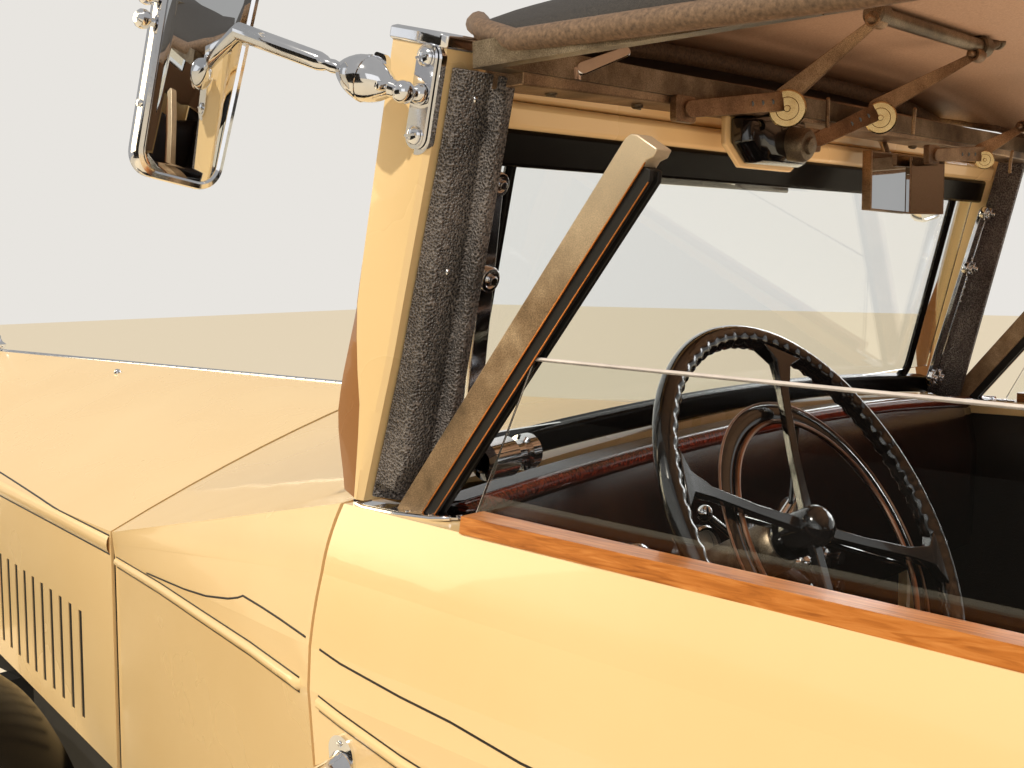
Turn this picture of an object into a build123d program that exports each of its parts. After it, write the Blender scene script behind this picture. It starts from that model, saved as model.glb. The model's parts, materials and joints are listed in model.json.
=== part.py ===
from build123d import *
from math import atan2, cos, degrees, radians, sin, sqrt, tan
import os

os.makedirs("parts", exist_ok=True)

# Places along the car, in millimetres forward of its middle
front_bumper_x = 2680.0
rear_bumper_x = -2680.0
front_axle_x = 2100.0
rear_axle_x = -1550.0
radiator_front_x = 2400.0
bonnet_front_x = 2310.0
bonnet_rear_x = 750.0
screen_x = 57.0
door_front_x = 80.0
post_x = -910.0
door_rear_x = -1500.0
tail_x = -2290.0

# Heights above the ground
sill_z = 1200.0
bead_z = 1022.0
foot_z = 420.0
crown_z = 1218.0
shoulder_z = 1053.0

# Chassis rails
rail_y = 380.0
rail_wide = 60.0

# Sheet and gap sizes
wall = 42.0
seam = 6.0
seat_gap = 0.3
fit = 0.06

# Wheels
tyre_radius = 375.0
tyre_width = 158.0
rim_radius = 236.0
rim_width = 132.0
wheel_y = 735.0
kingpin_y = 610.0

# Wings
front_arch = 520.0
rear_arch = 482.0
wing_outer_y = 905.0
wing_inner_y = 562.0
rear_wing_inner_y = 690.0
wing_crest_y = 745.0
wing_sheet = 5.0

# Heights that follow the wheels
rail_top_z = tyre_radius + 160.0
floor_z = rail_top_z + 10.0


def xz_face(points):
    """A closed outline of straight lines in the side view, at y = 0."""
    pts = [Vector(x, 0, z) for x, z in points]
    return Face(Wire.make_polygon(pts, close=True))


def side_prism(face, y_low, y_high):
    """A side-view face thrust across the car from y_low to y_high."""
    moved = face.moved(Location((0, y_low, 0)))
    return Solid.extrude(moved, Vector(0, y_high - y_low, 0))


def side_block(x_low, x_high, y_low, y_high, z_low, z_high):
    """A square block given by its limits along the three axes."""
    block = Solid.make_box(x_high - x_low, y_high - y_low, z_high - z_low)
    return block.moved(Location((x_low, y_low, z_low)))


def rod(start, end, radius):
    """A round bar from one point to another."""
    start, end = Vector(start), Vector(end)
    along = end - start
    return Solid.make_cylinder(radius, along.length, Plane(origin=start, z_dir=along))


def both_sides(shape):
    """A left-hand shape with its mirror image on the right."""
    return [shape, shape.mirror(Plane.XZ)]


def save(name, *shapes):
    """Write one named piece, of one solid or of several that do not touch."""
    solids = []
    for shape in shapes:
        solids.extend(shape.solids())
    whole = solids[0] if len(solids) == 1 else Compound(children=solids)
    export_step(whole, f"parts/{name}.step")


def ring_face(x, points, arcs):
    """A closed section across the car at one x, mirrored about the middle.

    points run from the foot up to the centre line as (y, z); arcs gives, for
    each stretch, how far its middle bulges outward, where 0 is a straight line.
    """
    edges = []
    for side in (1, -1):
        pts = [Vector(x, side * y, z) for y, z in points]
        for (a, b), bulge in zip(zip(pts, pts[1:]), arcs):
            if (a - b).length < 0.01:
                continue
            if bulge == 0:
                edges.append(Edge.make_line(a, b))
                continue
            chord = b - a
            normal = Vector(0, chord.Z, -chord.Y).normalized() * side
            middle = (a + b) * 0.5 + normal * bulge
            edges.append(Edge.make_three_point_arc(a, middle, b))
    foot = points[0]
    edges.append(Edge.make_line(Vector(x, foot[0], foot[1]), Vector(x, -foot[0], foot[1])))
    return Face(Wire(edges))


# Scuttle sections: x, foot half width, bead half width, bead height,
# shoulder half width, shoulder height, crown height, crown bulge
scuttle_table = [
    (bonnet_rear_x, 545.0, 537.0, 1007.0, 541.0, shoulder_z, crown_z, 11.0),
    (door_front_x, 665.0, 700.0, bead_z, 655.0, sill_z, 1236.0, 6.0),
]


# Above the bead a side has a belt and a crease: share of the height, how far it
# stands out from the straight line, and the bulge of the stretch below it
side_knots = [(0.236, 7.6, 0.0), (0.63, 9.4, 1.5), (1.0, 0.0, 3.0)]


def side_points(bead, bead_height, sill, sill_height, swell):
    """The belt and the crease between a side's bead and its sill, as (y, z)."""
    return [
        (bead + (sill - bead) * share + out * swell, bead_height + (sill_height - bead_height) * share)
        for share, out, _ in side_knots[:-1]
    ]


def side_swell(share):
    """How far a side stands out from the straight line at a share of its height."""
    low_share, low_out = 0.0, 0.0
    for knot_share, out, bulge in side_knots:
        if share <= knot_share:
            part = (share - low_share) / (knot_share - low_share)
            return low_out + (out - low_out) * part + 4 * bulge * part * (1 - part)
        low_share, low_out = knot_share, out
    return 0.0


def scuttle_section(row, x=None, inset=0.0):
    """One scuttle section; the inside is drawn in and has upright walls."""
    at, foot, bead, bead_height, shoulder, shoulder_height, crown, bulge = row
    at = at if x is None else x
    low = foot_z - (10.0 if inset else 0.0)
    swell = 0 if inset or row is scuttle_table[0] else 1
    if inset:
        foot = bead = min(foot, bead, shoulder)
    points = [
        (foot - inset, low),
        (bead - inset, bead_height),
        *side_points(bead - inset, bead_height, shoulder - inset, shoulder_height - inset / 2, swell),
        (shoulder - inset, shoulder_height - inset / 2),
        (0.0, crown - inset / 2),
    ]
    return ring_face(at, points, [0, *[knot[2] * swell for knot in side_knots], bulge])


# Cabin sections: x, foot half width, bead half width, sill half width, sill height
cabin_table = [
    (door_front_x, 665.0, 700.0, 655.0, sill_z),
    (post_x, 700.0, 755.0, 705.0, 1186.0),
    (door_rear_x - 3, 700.0, 760.0, 705.0, 1180.0),
    (-1950.0, 670.0, 730.0, 675.0, 1180.0),
    (tail_x + 130, 632.0, 686.0, 630.0, 1180.0),
    (tail_x + 50, 600.0, 650.0, 598.0, 1180.0),
    (tail_x, 530.0, 580.0, 528.0, 1180.0),
]


def cabin_section(row, x=None, inset=0.0):
    """One cabin section; the inside is drawn in and has upright walls."""
    at, foot, bead, sill, sill_height = row
    at = at if x is None else x
    low, high = foot_z, sill_height
    swell = 1
    if inset:
        low, high = foot_z - 10.0, sill_height + 20.0
        foot = bead = sill
        swell = 0
    points = [
        (foot - inset, low),
        (bead - inset, bead_z),
        *side_points(bead - inset, bead_z, sill - inset, high, swell),
        (sill - inset, high),
        (0.0, high),
    ]
    return ring_face(at, points, [0, *[knot[2] * swell for knot in side_knots], 0])


def cabin_side(x, z):
    """Half width of the cabin's outside at one place and height."""
    rows = cabin_table
    for front, back in zip(rows, rows[1:]):
        if x >= back[0] or back is rows[-1]:
            part = (front[0] - x) / (front[0] - back[0])
            foot, bead, sill, top = [a + (b - a) * part for a, b in zip(front[1:], back[1:])]
            if z <= bead_z:
                return foot + (bead - foot) * (z - foot_z) / (bead_z - foot_z)
            share = (z - bead_z) / (top - bead_z)
            return bead + (sill - bead) * share + side_swell(share)


def make_cabin():
    """The cabin's outer form and its inside, as two solids."""
    outer = Solid.make_loft([cabin_section(row).outer_wire() for row in cabin_table], ruled=True)
    inner_rows = []
    for index, row in enumerate(cabin_table):
        x = row[0]
        if index == 0:
            x += 1.0
        if index == len(cabin_table) - 1:
            x += wall
        inner_rows.append(cabin_section(row, x, wall).outer_wire())
    inner = Solid.make_loft(inner_rows, ruled=True)
    return outer, inner


def make_scuttle():
    """The scuttle's outer form and its inside, as two solids."""
    outer = Solid.make_loft([scuttle_section(row).outer_wire() for row in scuttle_table], ruled=True)
    inner = Solid.make_loft(
        [
            scuttle_section(scuttle_table[0], bonnet_rear_x - wall / 2, wall).outer_wire(),
            scuttle_section(scuttle_table[1], door_front_x - 1.0, wall).outer_wire(),
        ],
        ruled=True,
    )
    return outer, inner


cabin_outer, cabin_inner = make_cabin()
cabin_shell = cabin_outer - cabin_inner
scuttle_outer, scuttle_inner = make_scuttle()

# Door hinges: both doors of a side hang on the post between them
hinge_out = 13.0
hinge_apart = 16.0
front_hinge = (post_x + hinge_apart, cabin_side(post_x, bead_z) + hinge_out)
rear_hinge = (post_x - hinge_apart, cabin_side(post_x, bead_z) + hinge_out)
post_half = 26.0
front_swing = door_front_x - front_hinge[0] + 3.0
rear_swing = rear_hinge[0] - door_rear_x
rear_door_arch = rear_arch + 24.0
rear_arch_gap = 17.0
rear_arch_lean = 0.4
rear_arch_lean_y = 720.0
rebate_y = 686.0
rebate_step = 20.0


def hinge_cylinder(hinge, radius):
    """A tall cylinder about a hinge, which shapes a door's free edge."""
    base = Plane(origin=(hinge[0], hinge[1], foot_z - 20))
    return Solid.make_cylinder(radius, 900.0, base)


def arch_cylinder(radius, axle_x, y_low, y_high):
    """A cylinder across the car about an axle."""
    base = Plane(origin=(axle_x, y_low, tyre_radius), z_dir=(0, 1, 0))
    return Solid.make_cylinder(radius, y_high - y_low, base)


def leaning_arch(radius, y_low, y_high):
    """A round room about the rear axle that leans forward toward the inside."""
    x = rear_axle_x + rear_arch_lean * (rear_arch_lean_y - y_high)
    disc = Face(Wire.make_circle(radius, Plane(origin=(x, y_high, tyre_radius), z_dir=(0, 1, 0))))
    across = y_high - y_low
    return Solid.extrude(disc, Vector(rear_arch_lean * across, -across, 0))


door_foot_z = foot_z + 12.0
left_half = side_block(tail_x - 10, bonnet_rear_x + 10, 300, 1000, foot_z - 30, 1300)


def front_door_space(grow):
    """What the left front door fills, grown on its free sides by a gap."""
    block = side_block(
        post_x + post_half + seam - grow, door_front_x + 20, 400, 900, door_foot_z - grow, 1300
    )
    return block & hinge_cylinder(front_hinge, front_swing + grow)


def rear_door_space(grow):
    """What the left rear door fills, grown on its free sides by a gap."""
    block = side_block(
        door_rear_x - 20, post_x - post_half - seam + grow, 400, 900, door_foot_z - grow, 1300
    )
    block = block & hinge_cylinder(rear_hinge, rear_swing + grow)
    arch = rear_door_arch - (rear_arch_gap if grow else 0.0)
    block = block - leaning_arch(arch, 380, 1000)
    return block - leaning_arch(arch + rebate_step, 380, rebate_y - grow)


body_shell = scuttle_outer.fuse(cabin_shell).solids()[0] - scuttle_inner
left_shell = body_shell & left_half

# Glass and its slot in the doors
glass_y = 630.0
glass_turn = degrees(atan2(cabin_table[1][3] - cabin_table[0][3], door_front_x - post_x))
glass_thick = 5.0
glass_slot = 9.0
glass_low_z = 790.0
channel_lean = 40.0
channel_foot_x = -4.0
glass_lean = 27.5
glass_front_x = -80.0
glass_top_z = 1352.0
cap_thick = 15.0
cap_front_x = -96.0


door_leaf = 52.0
post_leaf = 22.0


def hinge_set(hinge, direction, heights, reach):
    """Barrels and leaves that carry a door; direction points along the door."""
    pieces = []
    for z in heights:
        top = z + barrel_high
        end = hinge[0] + direction * reach
        root = hinge[0] + direction * min(reach - 14, post_half - hinge_apart + seam + 2)
        low, high = sorted((hinge[0], end))
        clear = max(cabin_side(a, b) for a in (low, high) for b in (z, top)) + 2.5
        pieces.append(rod((*hinge, z), (*hinge, top), barrel_radius))
        pieces.append(side_block(low, high, clear, hinge[1] + 3, z, top))
        low, high = sorted((root, end))
        pieces.append(side_block(low, high, clear - 12, clear, z, top))
    return pieces


def hinge_pins(hinge, radius):
    """Pins from the middle of the doors' barrels up through the posts' barrels."""
    return [
        rod((*hinge, z + barrel_high / 2), (*hinge, z + 2 * barrel_high), radius)
        for z in door_hinge_heights
    ]


barrel_high = 38.0
barrel_radius = 8.0
pin_radius = 3.5
door_hinge_heights = (560.0, 1000.0)
post_hinge_heights = [z + barrel_high + 2 for z in door_hinge_heights]


def door_body(space, hinge, direction):
    """A left door: its panel with hinges and a slot for the glass."""
    panel = left_shell & space
    body = max(panel.solids(), key=lambda s: s.volume)
    leaves = hinge_set(hinge, direction, door_hinge_heights, door_leaf)
    for piece in leaves + hinge_pins(hinge, pin_radius):
        body = body.fuse(piece)
    return body


front_door = door_body(front_door_space(0.0), front_hinge, 1)
rear_door = door_body(rear_door_space(0.0), rear_hinge, -1)


def glass_plate(thick, low):
    """The left front glass, whose front edge leans back."""
    lean = tan(radians(glass_lean))
    top_front = glass_front_x - lean * (glass_top_z - sill_z)
    back = post_x + post_half + seam + 30
    low_front = glass_front_x - 20
    face = xz_face(
        [
            (low_front, low),
            (low_front, sill_z - 60),
            (glass_front_x, sill_z),
            (top_front, glass_top_z),
            (back, glass_top_z - 14),
            (back, low),
        ]
    )
    plate = side_prism(face, glass_y - thick / 2, glass_y + thick / 2)
    return plate.rotate(Axis((glass_front_x, glass_y, 0), (0, 0, 1)), -glass_turn)


front_door = front_door - glass_plate(glass_slot, glass_low_z)


def glass_line(x):
    """How far out the middle of the glass lies at one place."""
    return glass_y + (glass_front_x - x) * tan(radians(glass_turn))


def door_cap(x_front, x_back):
    """A wooden cap along the top of a door."""
    edges = []
    for x in (x_front, x_back):
        out = cabin_side(x, sill_z - 14) - 4.0
        inside = glass_line(x) + glass_slot / 2
        low = door_top(x)
        high = low + cap_thick
        edges.append([Vector(x, inside, low), Vector(x, out, low),
                      Vector(x, out - 3, high), Vector(x, inside, high)])
    wires = [Wire.make_polygon(points, close=True) for points in edges]
    return Solid.make_loft(wires, ruled=True)


def door_top(x):
    """Height of the top of the door at one place."""
    rows = cabin_table
    for front, back in zip(rows, rows[1:]):
        if x >= back[0]:
            part = (front[0] - x) / (front[0] - back[0])
            return front[4] + (back[4] - front[4]) * part


front_cap = door_cap(cap_front_x, post_x + post_half + seam + 2)
rear_cap = door_cap(post_x - post_half - seam - 2, door_rear_x + 14)


# Scuttle: cowl, firewall and the shelf that carries the windscreen
shelf_back_x = screen_x - 22.0
shelf_half = cabin_table[0][3] - wall - 8.0
screen_foot_z = sill_z + 9.0
scuttle_block = side_block(door_front_x - 60, bonnet_rear_x + 10, -1000, 1000, foot_z - 30, 1300)
scuttle = (body_shell & scuttle_block) - scuttle_inner
shelf_points = [(shelf_half, sill_z - 40), (shelf_half, sill_z - 1), (0.0, 1236.0)]


def shelf_form(x_back, x_front, rise):
    """The windscreen shelf, from back to front, raised by a clearance."""
    points = [(y, z + rise) for y, z in shelf_points]
    wires = [ring_face(x, points, [0, 6]).outer_wire() for x in (x_back, x_front)]
    return Solid.make_loft(wires, ruled=True)


shelf_bay = side_block(
    shelf_back_x + 12, door_front_x + 30, -shelf_half + 30, shelf_half - 30, 1100, sill_z + 3
)
shelf = shelf_form(shelf_back_x, door_front_x + 4, 0.0) - shelf_bay
scuttle = scuttle + shelf
for door_space in both_sides(front_door_space(seam)):
    scuttle = scuttle - door_space
rails_out = rail_y + rail_wide + 4
scuttle = scuttle - side_block(
    bonnet_rear_x - 100, bonnet_rear_x + 10, -rails_out, rails_out, 300, rail_top_z
)
save("scuttle", max(scuttle.solids(), key=lambda s: s.volume))

def floor_edge(x, gap):
    """Half width of the floor at one place, short of the walls by a gap."""
    return cabin_side(x, door_top(x)) - wall - gap


# Centre posts, with the fixed halves of the hinges
post_block = side_block(post_x - post_half, post_x + post_half, 400, 1000, foot_z - 10, 1300)
left_post = (left_shell & post_block).solids()[0]
post_foot = side_block(
    post_x - 20, post_x + 20, floor_edge(post_x, seam + 1) + seat_gap, 690, rail_top_z, floor_z + 60
)
left_post = left_post.fuse(post_foot)
for hinge, direction in ((front_hinge, -1), (rear_hinge, 1)):
    for piece in hinge_set(hinge, direction, post_hinge_heights, post_leaf):
        left_post = left_post.fuse(piece)
    for room in hinge_pins(hinge, pin_radius + fit):
        left_post = left_post - room
save("centre_posts", *both_sides(left_post))

# Rear tub, with room for the tyres
tub_front_x = post_x - post_half - seam
tub = body_shell & side_block(tail_x - 10, tub_front_x, -1000, 1000, foot_z - 30, 1300)
for door_space in both_sides(rear_door_space(seam)):
    tub = tub - door_space
tyre_room = tyre_radius + 45.0
arch_in = wheel_y - tyre_width / 2 - 24
house_wall = 5.0
house_front_x = rear_axle_x + tyre_room + house_wall
house = arch_cylinder(tyre_room + house_wall, rear_axle_x, arch_in - house_wall, 680)
house = house & side_block(-2200, -900, 600, 680, rail_top_z, 1000)
for side_house in both_sides(house):
    tub = tub.fuse(side_house)
for arch in both_sides(arch_cylinder(tyre_room, rear_axle_x, arch_in, 1000)):
    tub = tub - arch
tub = tub - side_block(tail_x - 10, tail_x + 100, -rails_out, rails_out, 300, rail_top_z)
tub = max(tub.solids(), key=lambda s: s.volume)
save("rear_tub", tub)

# Floor, which follows the walls and keeps clear of the doors
floor_points = [
    (bonnet_rear_x - wall / 2 - 1, scuttle_table[0][2] - wall - 1),
    (door_front_x - 20, floor_edge(door_front_x, 1)),
    (door_front_x - 20, floor_edge(door_front_x, seam + 1)),
    (post_x, floor_edge(post_x, seam + 1)),
    (house_front_x, floor_edge(house_front_x, seam + 1)),
    (house_front_x, arch_in - house_wall - seat_gap),
    (-1950, arch_in - house_wall - seat_gap),
    (tail_x + wall + 1, floor_edge(tail_x, 1)),
]
outline = [Vector(x, y, rail_top_z) for x, y in floor_points]
outline += [Vector(x, -y, rail_top_z) for x, y in reversed(floor_points)]
floor_face = Face(Wire.make_polygon(outline, close=True))
floor = Solid.extrude(floor_face, Vector(0, 0, floor_z - rail_top_z))
save("floor", floor)

save("door_front_left", front_door)
save("door_front_right", front_door.mirror(Plane.XZ))
save("door_rear_left", rear_door)
save("door_rear_right", rear_door.mirror(Plane.XZ))
save("door_cap_front_left", front_cap)
save("door_cap_front_right", front_cap.mirror(Plane.XZ))
save("door_cap_rear_left", rear_cap)
save("door_cap_rear_right", rear_cap.mirror(Plane.XZ))
front_glass = glass_plate(glass_thick, glass_low_z + 2)
save("door_glass_left", front_glass)
save("door_glass_right", front_glass.mirror(Plane.XZ))

# Slanting glass channels, which stand on the front doors
channel_high = 342.0
channel_deep = 40.0
channel_thick = 20.0
channel_base_z = door_top(channel_foot_x + channel_deep) + seat_gap


def channel_block(u_low, u_high, v_low, v_high, w_low, w_high):
    """A block in the channel's own directions: fore and aft, up, and outward."""
    along = Vector(-sin(radians(channel_lean)), 0, cos(radians(channel_lean)))
    ahead = Vector(cos(radians(channel_lean)), 0, sin(radians(channel_lean)))
    base = Vector(channel_foot_x, glass_y - channel_thick / 2 + w_low, channel_base_z)
    corners = [base + ahead * u + along * v for u, v in
               ((u_low, v_low), (u_high, v_low), (u_high, v_high), (u_low, v_high))]
    return Solid.extrude(Face(Wire.make_polygon(corners, close=True)), Vector(0, w_high - w_low, 0))


channel_length = channel_high / cos(radians(channel_lean))
channel = channel_block(-channel_deep / 2, channel_deep / 2, -30, channel_length, 0, channel_thick)
groove = channel_block(-channel_deep / 2 - 1, -channel_deep / 2 + 12, -40, channel_length - 14, 6, 14)
below_door = side_block(-400, 200, 500, 800, 1000, channel_base_z)
channel = channel - groove - below_door
save("glass_channel_left", channel)
save("glass_channel_right", channel.mirror(Plane.XZ))

# Windscreen: posts, rails and glass stand in one raked plane
screen_rake = 109.0
screen_rise = 430.0
screen_length = sqrt(screen_rake ** 2 + screen_rise ** 2)
screen_up = Vector(-screen_rake, 0, screen_rise).normalized()
screen_ahead = Vector(screen_rise, 0, screen_rake).normalized()
screen_post_y = 631.0
screen_post_wide = 46.0
screen_post_deep = 50.0
screen_bevel = 11.0
screen_glass_half = 596.0
screen_bar = 16.0
header_high = 112.0


def screen_point(u, v, w):
    """A point at u across, v up the rake and w ahead of the screen's plane."""
    return Vector(screen_x, u, screen_foot_z) + screen_up * v + screen_ahead * w


def screen_bar_solid(section, v_low, v_high):
    """An upright bar whose section is given as (across, ahead) points."""
    face = Face(Wire.make_polygon([screen_point(u, v_low, w) for u, w in section], close=True))
    return Solid.extrude(face, screen_up * (v_high - v_low))


def screen_block(u_low, u_high, v_low, v_high, w_low, w_high):
    """A square block in the screen's own directions."""
    section = [(u_low, w_low), (u_high, w_low), (u_high, w_high), (u_low, w_high)]
    return screen_bar_solid(section, v_low, v_high)


half_post = screen_post_wide / 2
half_deep = screen_post_deep / 2
post_section = [
    (screen_post_y - half_post, -half_deep),
    (screen_post_y + half_post, -half_deep),
    (screen_post_y + half_post, half_deep - screen_bevel),
    (screen_post_y + half_post - screen_bevel, half_deep),
    (screen_post_y - half_post, half_deep),
]
screen_post = screen_bar_solid(post_section, -30, screen_length)
lower_rail = screen_block(0, screen_post_y - half_post + 2, -30, 62, -11, 11)
header_low = screen_length - header_high
header = screen_block(0, screen_post_y - half_post + 2, header_low, screen_length, -18, 16)
under_screen = side_block(-200, 300, 0, 700, 1000, screen_foot_z)
screen_half = screen_post.fuse(header)
screen_half = screen_half - under_screen
shelf_room = shelf_form(-200, 300, seat_gap)
rail_foot = side_block(-200, 300, shelf_half - 6, 700, 1000, screen_foot_z)
lower_rail = lower_rail - shelf_room - rail_foot
screen_half = screen_half.fuse(lower_rail)
glass_low, glass_high = 46.0, header_low + 10
glass_room = screen_block(-screen_glass_half, screen_glass_half, glass_low, glass_high, -3.2, 3.2)
side_bar = screen_block(
    screen_glass_half - screen_bar, screen_post_y - half_post + 2, 40, screen_length - 20, -9, 9
)
screen_half = screen_half.fuse(side_bar)
screen_frame = screen_half.fuse(screen_half.mirror(Plane.XZ)) - glass_room
save("windscreen_frame", screen_frame)
save(
    "windscreen_glass",
    screen_block(-screen_glass_half + 1, screen_glass_half - 1, glass_low + 1, glass_high - 1, -3, 3),
)

# Weather strips behind the posts
strip_deep = 42.0
strip = screen_block(
    screen_post_y - 30,
    screen_post_y + 12,
    -30,
    screen_length - 26,
    -half_deep - strip_deep,
    -half_deep - seat_gap,
)
strip = strip - side_block(-300, 300, 500, 800, 1000, screen_foot_z)
swing_gap = 5.0
channel_room = channel_block(
    -channel_deep, channel_deep / 2 + swing_gap, -60, channel_length + 20, -swing_gap, channel_thick + 30
)
strip = strip - channel_room
save("weather_strips", *both_sides(strip))

# Bonnet halves, which lift about the hinge along the middle
bonnet_sheet = 4.0
bonnet_middle = 5.3
bonnet_low_rear = 692.0
bonnet_low_front = 792.0
# Bonnet sections: x, shoulder half width, shoulder height, foot half width, foot height
bonnet_table = [
    (bonnet_rear_x + seam, 540.0, shoulder_z, 545.0, bonnet_low_rear),
    (bonnet_front_x, 330.0, 1038.0, 327.0, bonnet_low_front),
]


def bonnet_section(row, inset, x=None):
    """Half a bonnet section, from the middle over the top and down the side."""
    at, shoulder, shoulder_height, foot, foot_height = row
    at = at if x is None else x
    top = Vector(at, bonnet_middle, crown_z - inset)
    corner = Vector(at, shoulder - inset, shoulder_height - inset)
    low = Vector(at, foot - inset, foot_height - inset * 10)
    inner_low = Vector(at, bonnet_middle, foot_height - inset * 10)
    chord = corner - top
    middle = (top + corner) * 0.5 + Vector(0, -chord.Z, chord.Y).normalized() * 11
    return Wire(
        [
            Edge.make_three_point_arc(top, middle, corner),
            Edge.make_line(corner, low),
            Edge.make_line(low, inner_low),
            Edge.make_line(inner_low, top),
        ]
    )


bonnet_outer = Solid.make_loft([bonnet_section(row, 0.0) for row in bonnet_table], ruled=True)
bonnet_inner = Solid.make_loft(
    [
        bonnet_section(bonnet_table[0], bonnet_sheet, bonnet_table[0][0] - 5),
        bonnet_section(bonnet_table[1], bonnet_sheet, bonnet_table[1][0] + 5),
    ],
    ruled=True,
)
bonnet_cut = side_block(600, 2400, 0, bonnet_middle + 60, 600, crown_z - 60)
bonnet = bonnet_outer - bonnet_inner - bonnet_cut - side_block(600, 2400, 0, 250, 600, 1000)
louvre_count = 31
louvre_pitch = 44.5
louvre_first_x = 885.0
louvre_high_z = 906.0
louvre_rise = 0.04
louvre_low_gap = 34.0
louvre_wide = 14.0


def bonnet_foot(x):
    """Height of the bonnet's lower edge at one place."""
    rear, front = bonnet_table
    return rear[4] + (front[4] - rear[4]) * (x - rear[0]) / (front[0] - rear[0])


for index in range(louvre_count):
    x = louvre_first_x + index * louvre_pitch
    louvre_low_z = bonnet_foot(x) + louvre_low_gap
    louvre_top_z = louvre_high_z + louvre_rise * (x - louvre_first_x)
    bonnet = bonnet - side_block(x, x + louvre_wide, 250, 600, louvre_low_z, louvre_top_z)
bonnet = max(bonnet.solids(), key=lambda s: s.volume)
save("bonnet_left", bonnet)
save("bonnet_right", bonnet.mirror(Plane.XZ))
hinge_z = crown_z - 1
hinge_rod = 5.0
save(
    "bonnet_hinge",
    rod((bonnet_rear_x, 0, hinge_z), (bonnet_front_x + seam, 0, hinge_z), hinge_rod),
)

# Radiator shell and grille
shell_back_x = bonnet_front_x + seam
shell_rim = 26.0
radiator_foot = 560.0
cross_low_z, cross_top_z = rail_top_z - 90.0, rail_top_z - 35.0
shell_foot_x = shell_back_x + 36.0


def radiator_face(x, inset, low):
    """The radiator's outline across the car."""
    row = bonnet_table[1]
    points = [
        (row[3] - 30 - inset, low),
        (row[1] + 4 - inset, row[2] + 2 - inset / 3),
        (0.0, crown_z + 6 - inset),
    ]
    return ring_face(x, points, [0, 12])


shell_deep = radiator_front_x - shell_back_x
shell_outer = Solid.extrude(radiator_face(shell_back_x, 0, radiator_foot), Vector(shell_deep, 0, 0))
shell_inner = Solid.extrude(
    radiator_face(shell_back_x - 1, shell_rim, radiator_foot + shell_rim),
    Vector(shell_deep + 2, 0, 0),
)
radiator_shell = shell_outer - shell_inner
for y in (-250.0, 250.0):
    foot = side_block(
        shell_foot_x - 20, shell_foot_x + 20, y - 30, y + 30, cross_top_z, radiator_foot + shell_rim / 2
    )
    radiator_shell = radiator_shell.fuse(foot)
save("radiator_shell", radiator_shell)
grille_inset = shell_rim + seat_gap
grille_low = radiator_foot + grille_inset
core = Solid.extrude(radiator_face(shell_back_x + 12, grille_inset, grille_low), Vector(36, 0, 0))
grille_form = Solid.extrude(radiator_face(shell_back_x + 12, grille_inset, grille_low), Vector(78, 0, 0))
slat_pitch = 26.0
slat_wide = 6.0
grille = core
for index in range(-11, 12):
    y = index * slat_pitch
    slat = side_block(
        shell_back_x + 40, radiator_front_x - 16, y - slat_wide / 2, y + slat_wide / 2, 500, 1300
    )
    slat = slat & grille_form
    if slat.solids():
        grille = grille.fuse(slat.solids()[0])
save("radiator_grille", grille)

# Chassis rails, cross members and the block of engine and gearbox
spring_y = rail_y + 8
spring_wide = 44.0
spring_leaf = 8.0
front_reach = 440.0
rear_reach = 560.0
axle_top_z = tyre_radius - 25.0
axle_tube = 38.0
rail_front_x = 2560.0
rail_back_x = -2440.0
rail_face = xz_face(
    [
        (rail_back_x, rail_top_z - 10), (rail_back_x, rail_top_z - 80),
        (-900, rail_top_z - 80), (-800, rail_top_z - 120),
        (1300, rail_top_z - 120), (1450, rail_top_z - 95),
        (rail_front_x - 200, rail_top_z - 95), (rail_front_x, rail_top_z - 124),
        (rail_front_x, rail_top_z - 85), (rail_front_x - 150, rail_top_z - 40),
        (1500, rail_top_z), (-2200, rail_top_z),
    ]
)
chassis = side_prism(rail_face, rail_y, rail_y + rail_wide)
chassis = chassis.fuse(chassis.mirror(Plane.XZ))
cross_places = (shell_foot_x, 1850.0, 1150.0, -300.0, -1150.0, -2200.0)
for x in cross_places:
    chassis = chassis.fuse(
        side_block(x - 35, x + 35, -rail_y - 1, rail_y + 1, cross_low_z, cross_top_z)
    )
rail_hangers = []
for axle_x, reach, end_z in (
    (front_axle_x, front_reach, axle_top_z + 22),
    (rear_axle_x, rear_reach, tyre_radius + axle_tube + 5),
):
    for sign in (1, -1):
        x = axle_x + sign * (reach - 22)
        top_of_spring = end_z + spring_leaf * 4 + 0.5 + seat_gap
        rail_hangers.append(
            side_block(
                x - 18, x + 18, spring_y, spring_y + spring_wide, top_of_spring, rail_top_z - 65
            )
        )
for hanger in rail_hangers:
    for side_hanger in both_sides(hanger):
        chassis = chassis.fuse(side_hanger)
# Bores through the rails' ends for a tow bar's bolts
tow_radius = 10.0
for x, z in ((rail_front_x - 40, rail_top_z - 105), (rail_back_x + 35, rail_top_z - 45)):
    chassis = chassis - rod((x, -500, z), (x, 500, z), tow_radius)
save("chassis_frame", chassis)
engine = side_block(1100, 1950, -210, 210, cross_top_z, 1010)
engine = engine.fuse(side_block(800, 1101, -140, 140, cross_top_z, 720))
save("engine_block", engine)

# Front axle, knuckles and rear axle
kingpin_radius = 13.0
eye_low, eye_high = tyre_radius - 37.0, tyre_radius + 27.0
axle_deep = 50.0


def kingpin(y, low, high, radius):
    """A round bar on the line that a front wheel steers about."""
    return rod((front_axle_x, y, low), (front_axle_x, y, high), radius)


front_axle = side_block(
    front_axle_x - axle_deep / 2, front_axle_x + axle_deep / 2, -540, 540, axle_top_z - axle_deep, axle_top_z
)
for y in (kingpin_y, -kingpin_y):
    across = sorted((y * 0.82, y))
    neck = side_block(front_axle_x - 22, front_axle_x + 22, *across, eye_low, eye_high - 14)
    front_axle = front_axle.fuse(neck).fuse(kingpin(y, eye_low, eye_high, 30.0))
    front_axle = front_axle - kingpin(y, 200, 500, kingpin_radius + fit)
save("front_axle", front_axle)

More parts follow.
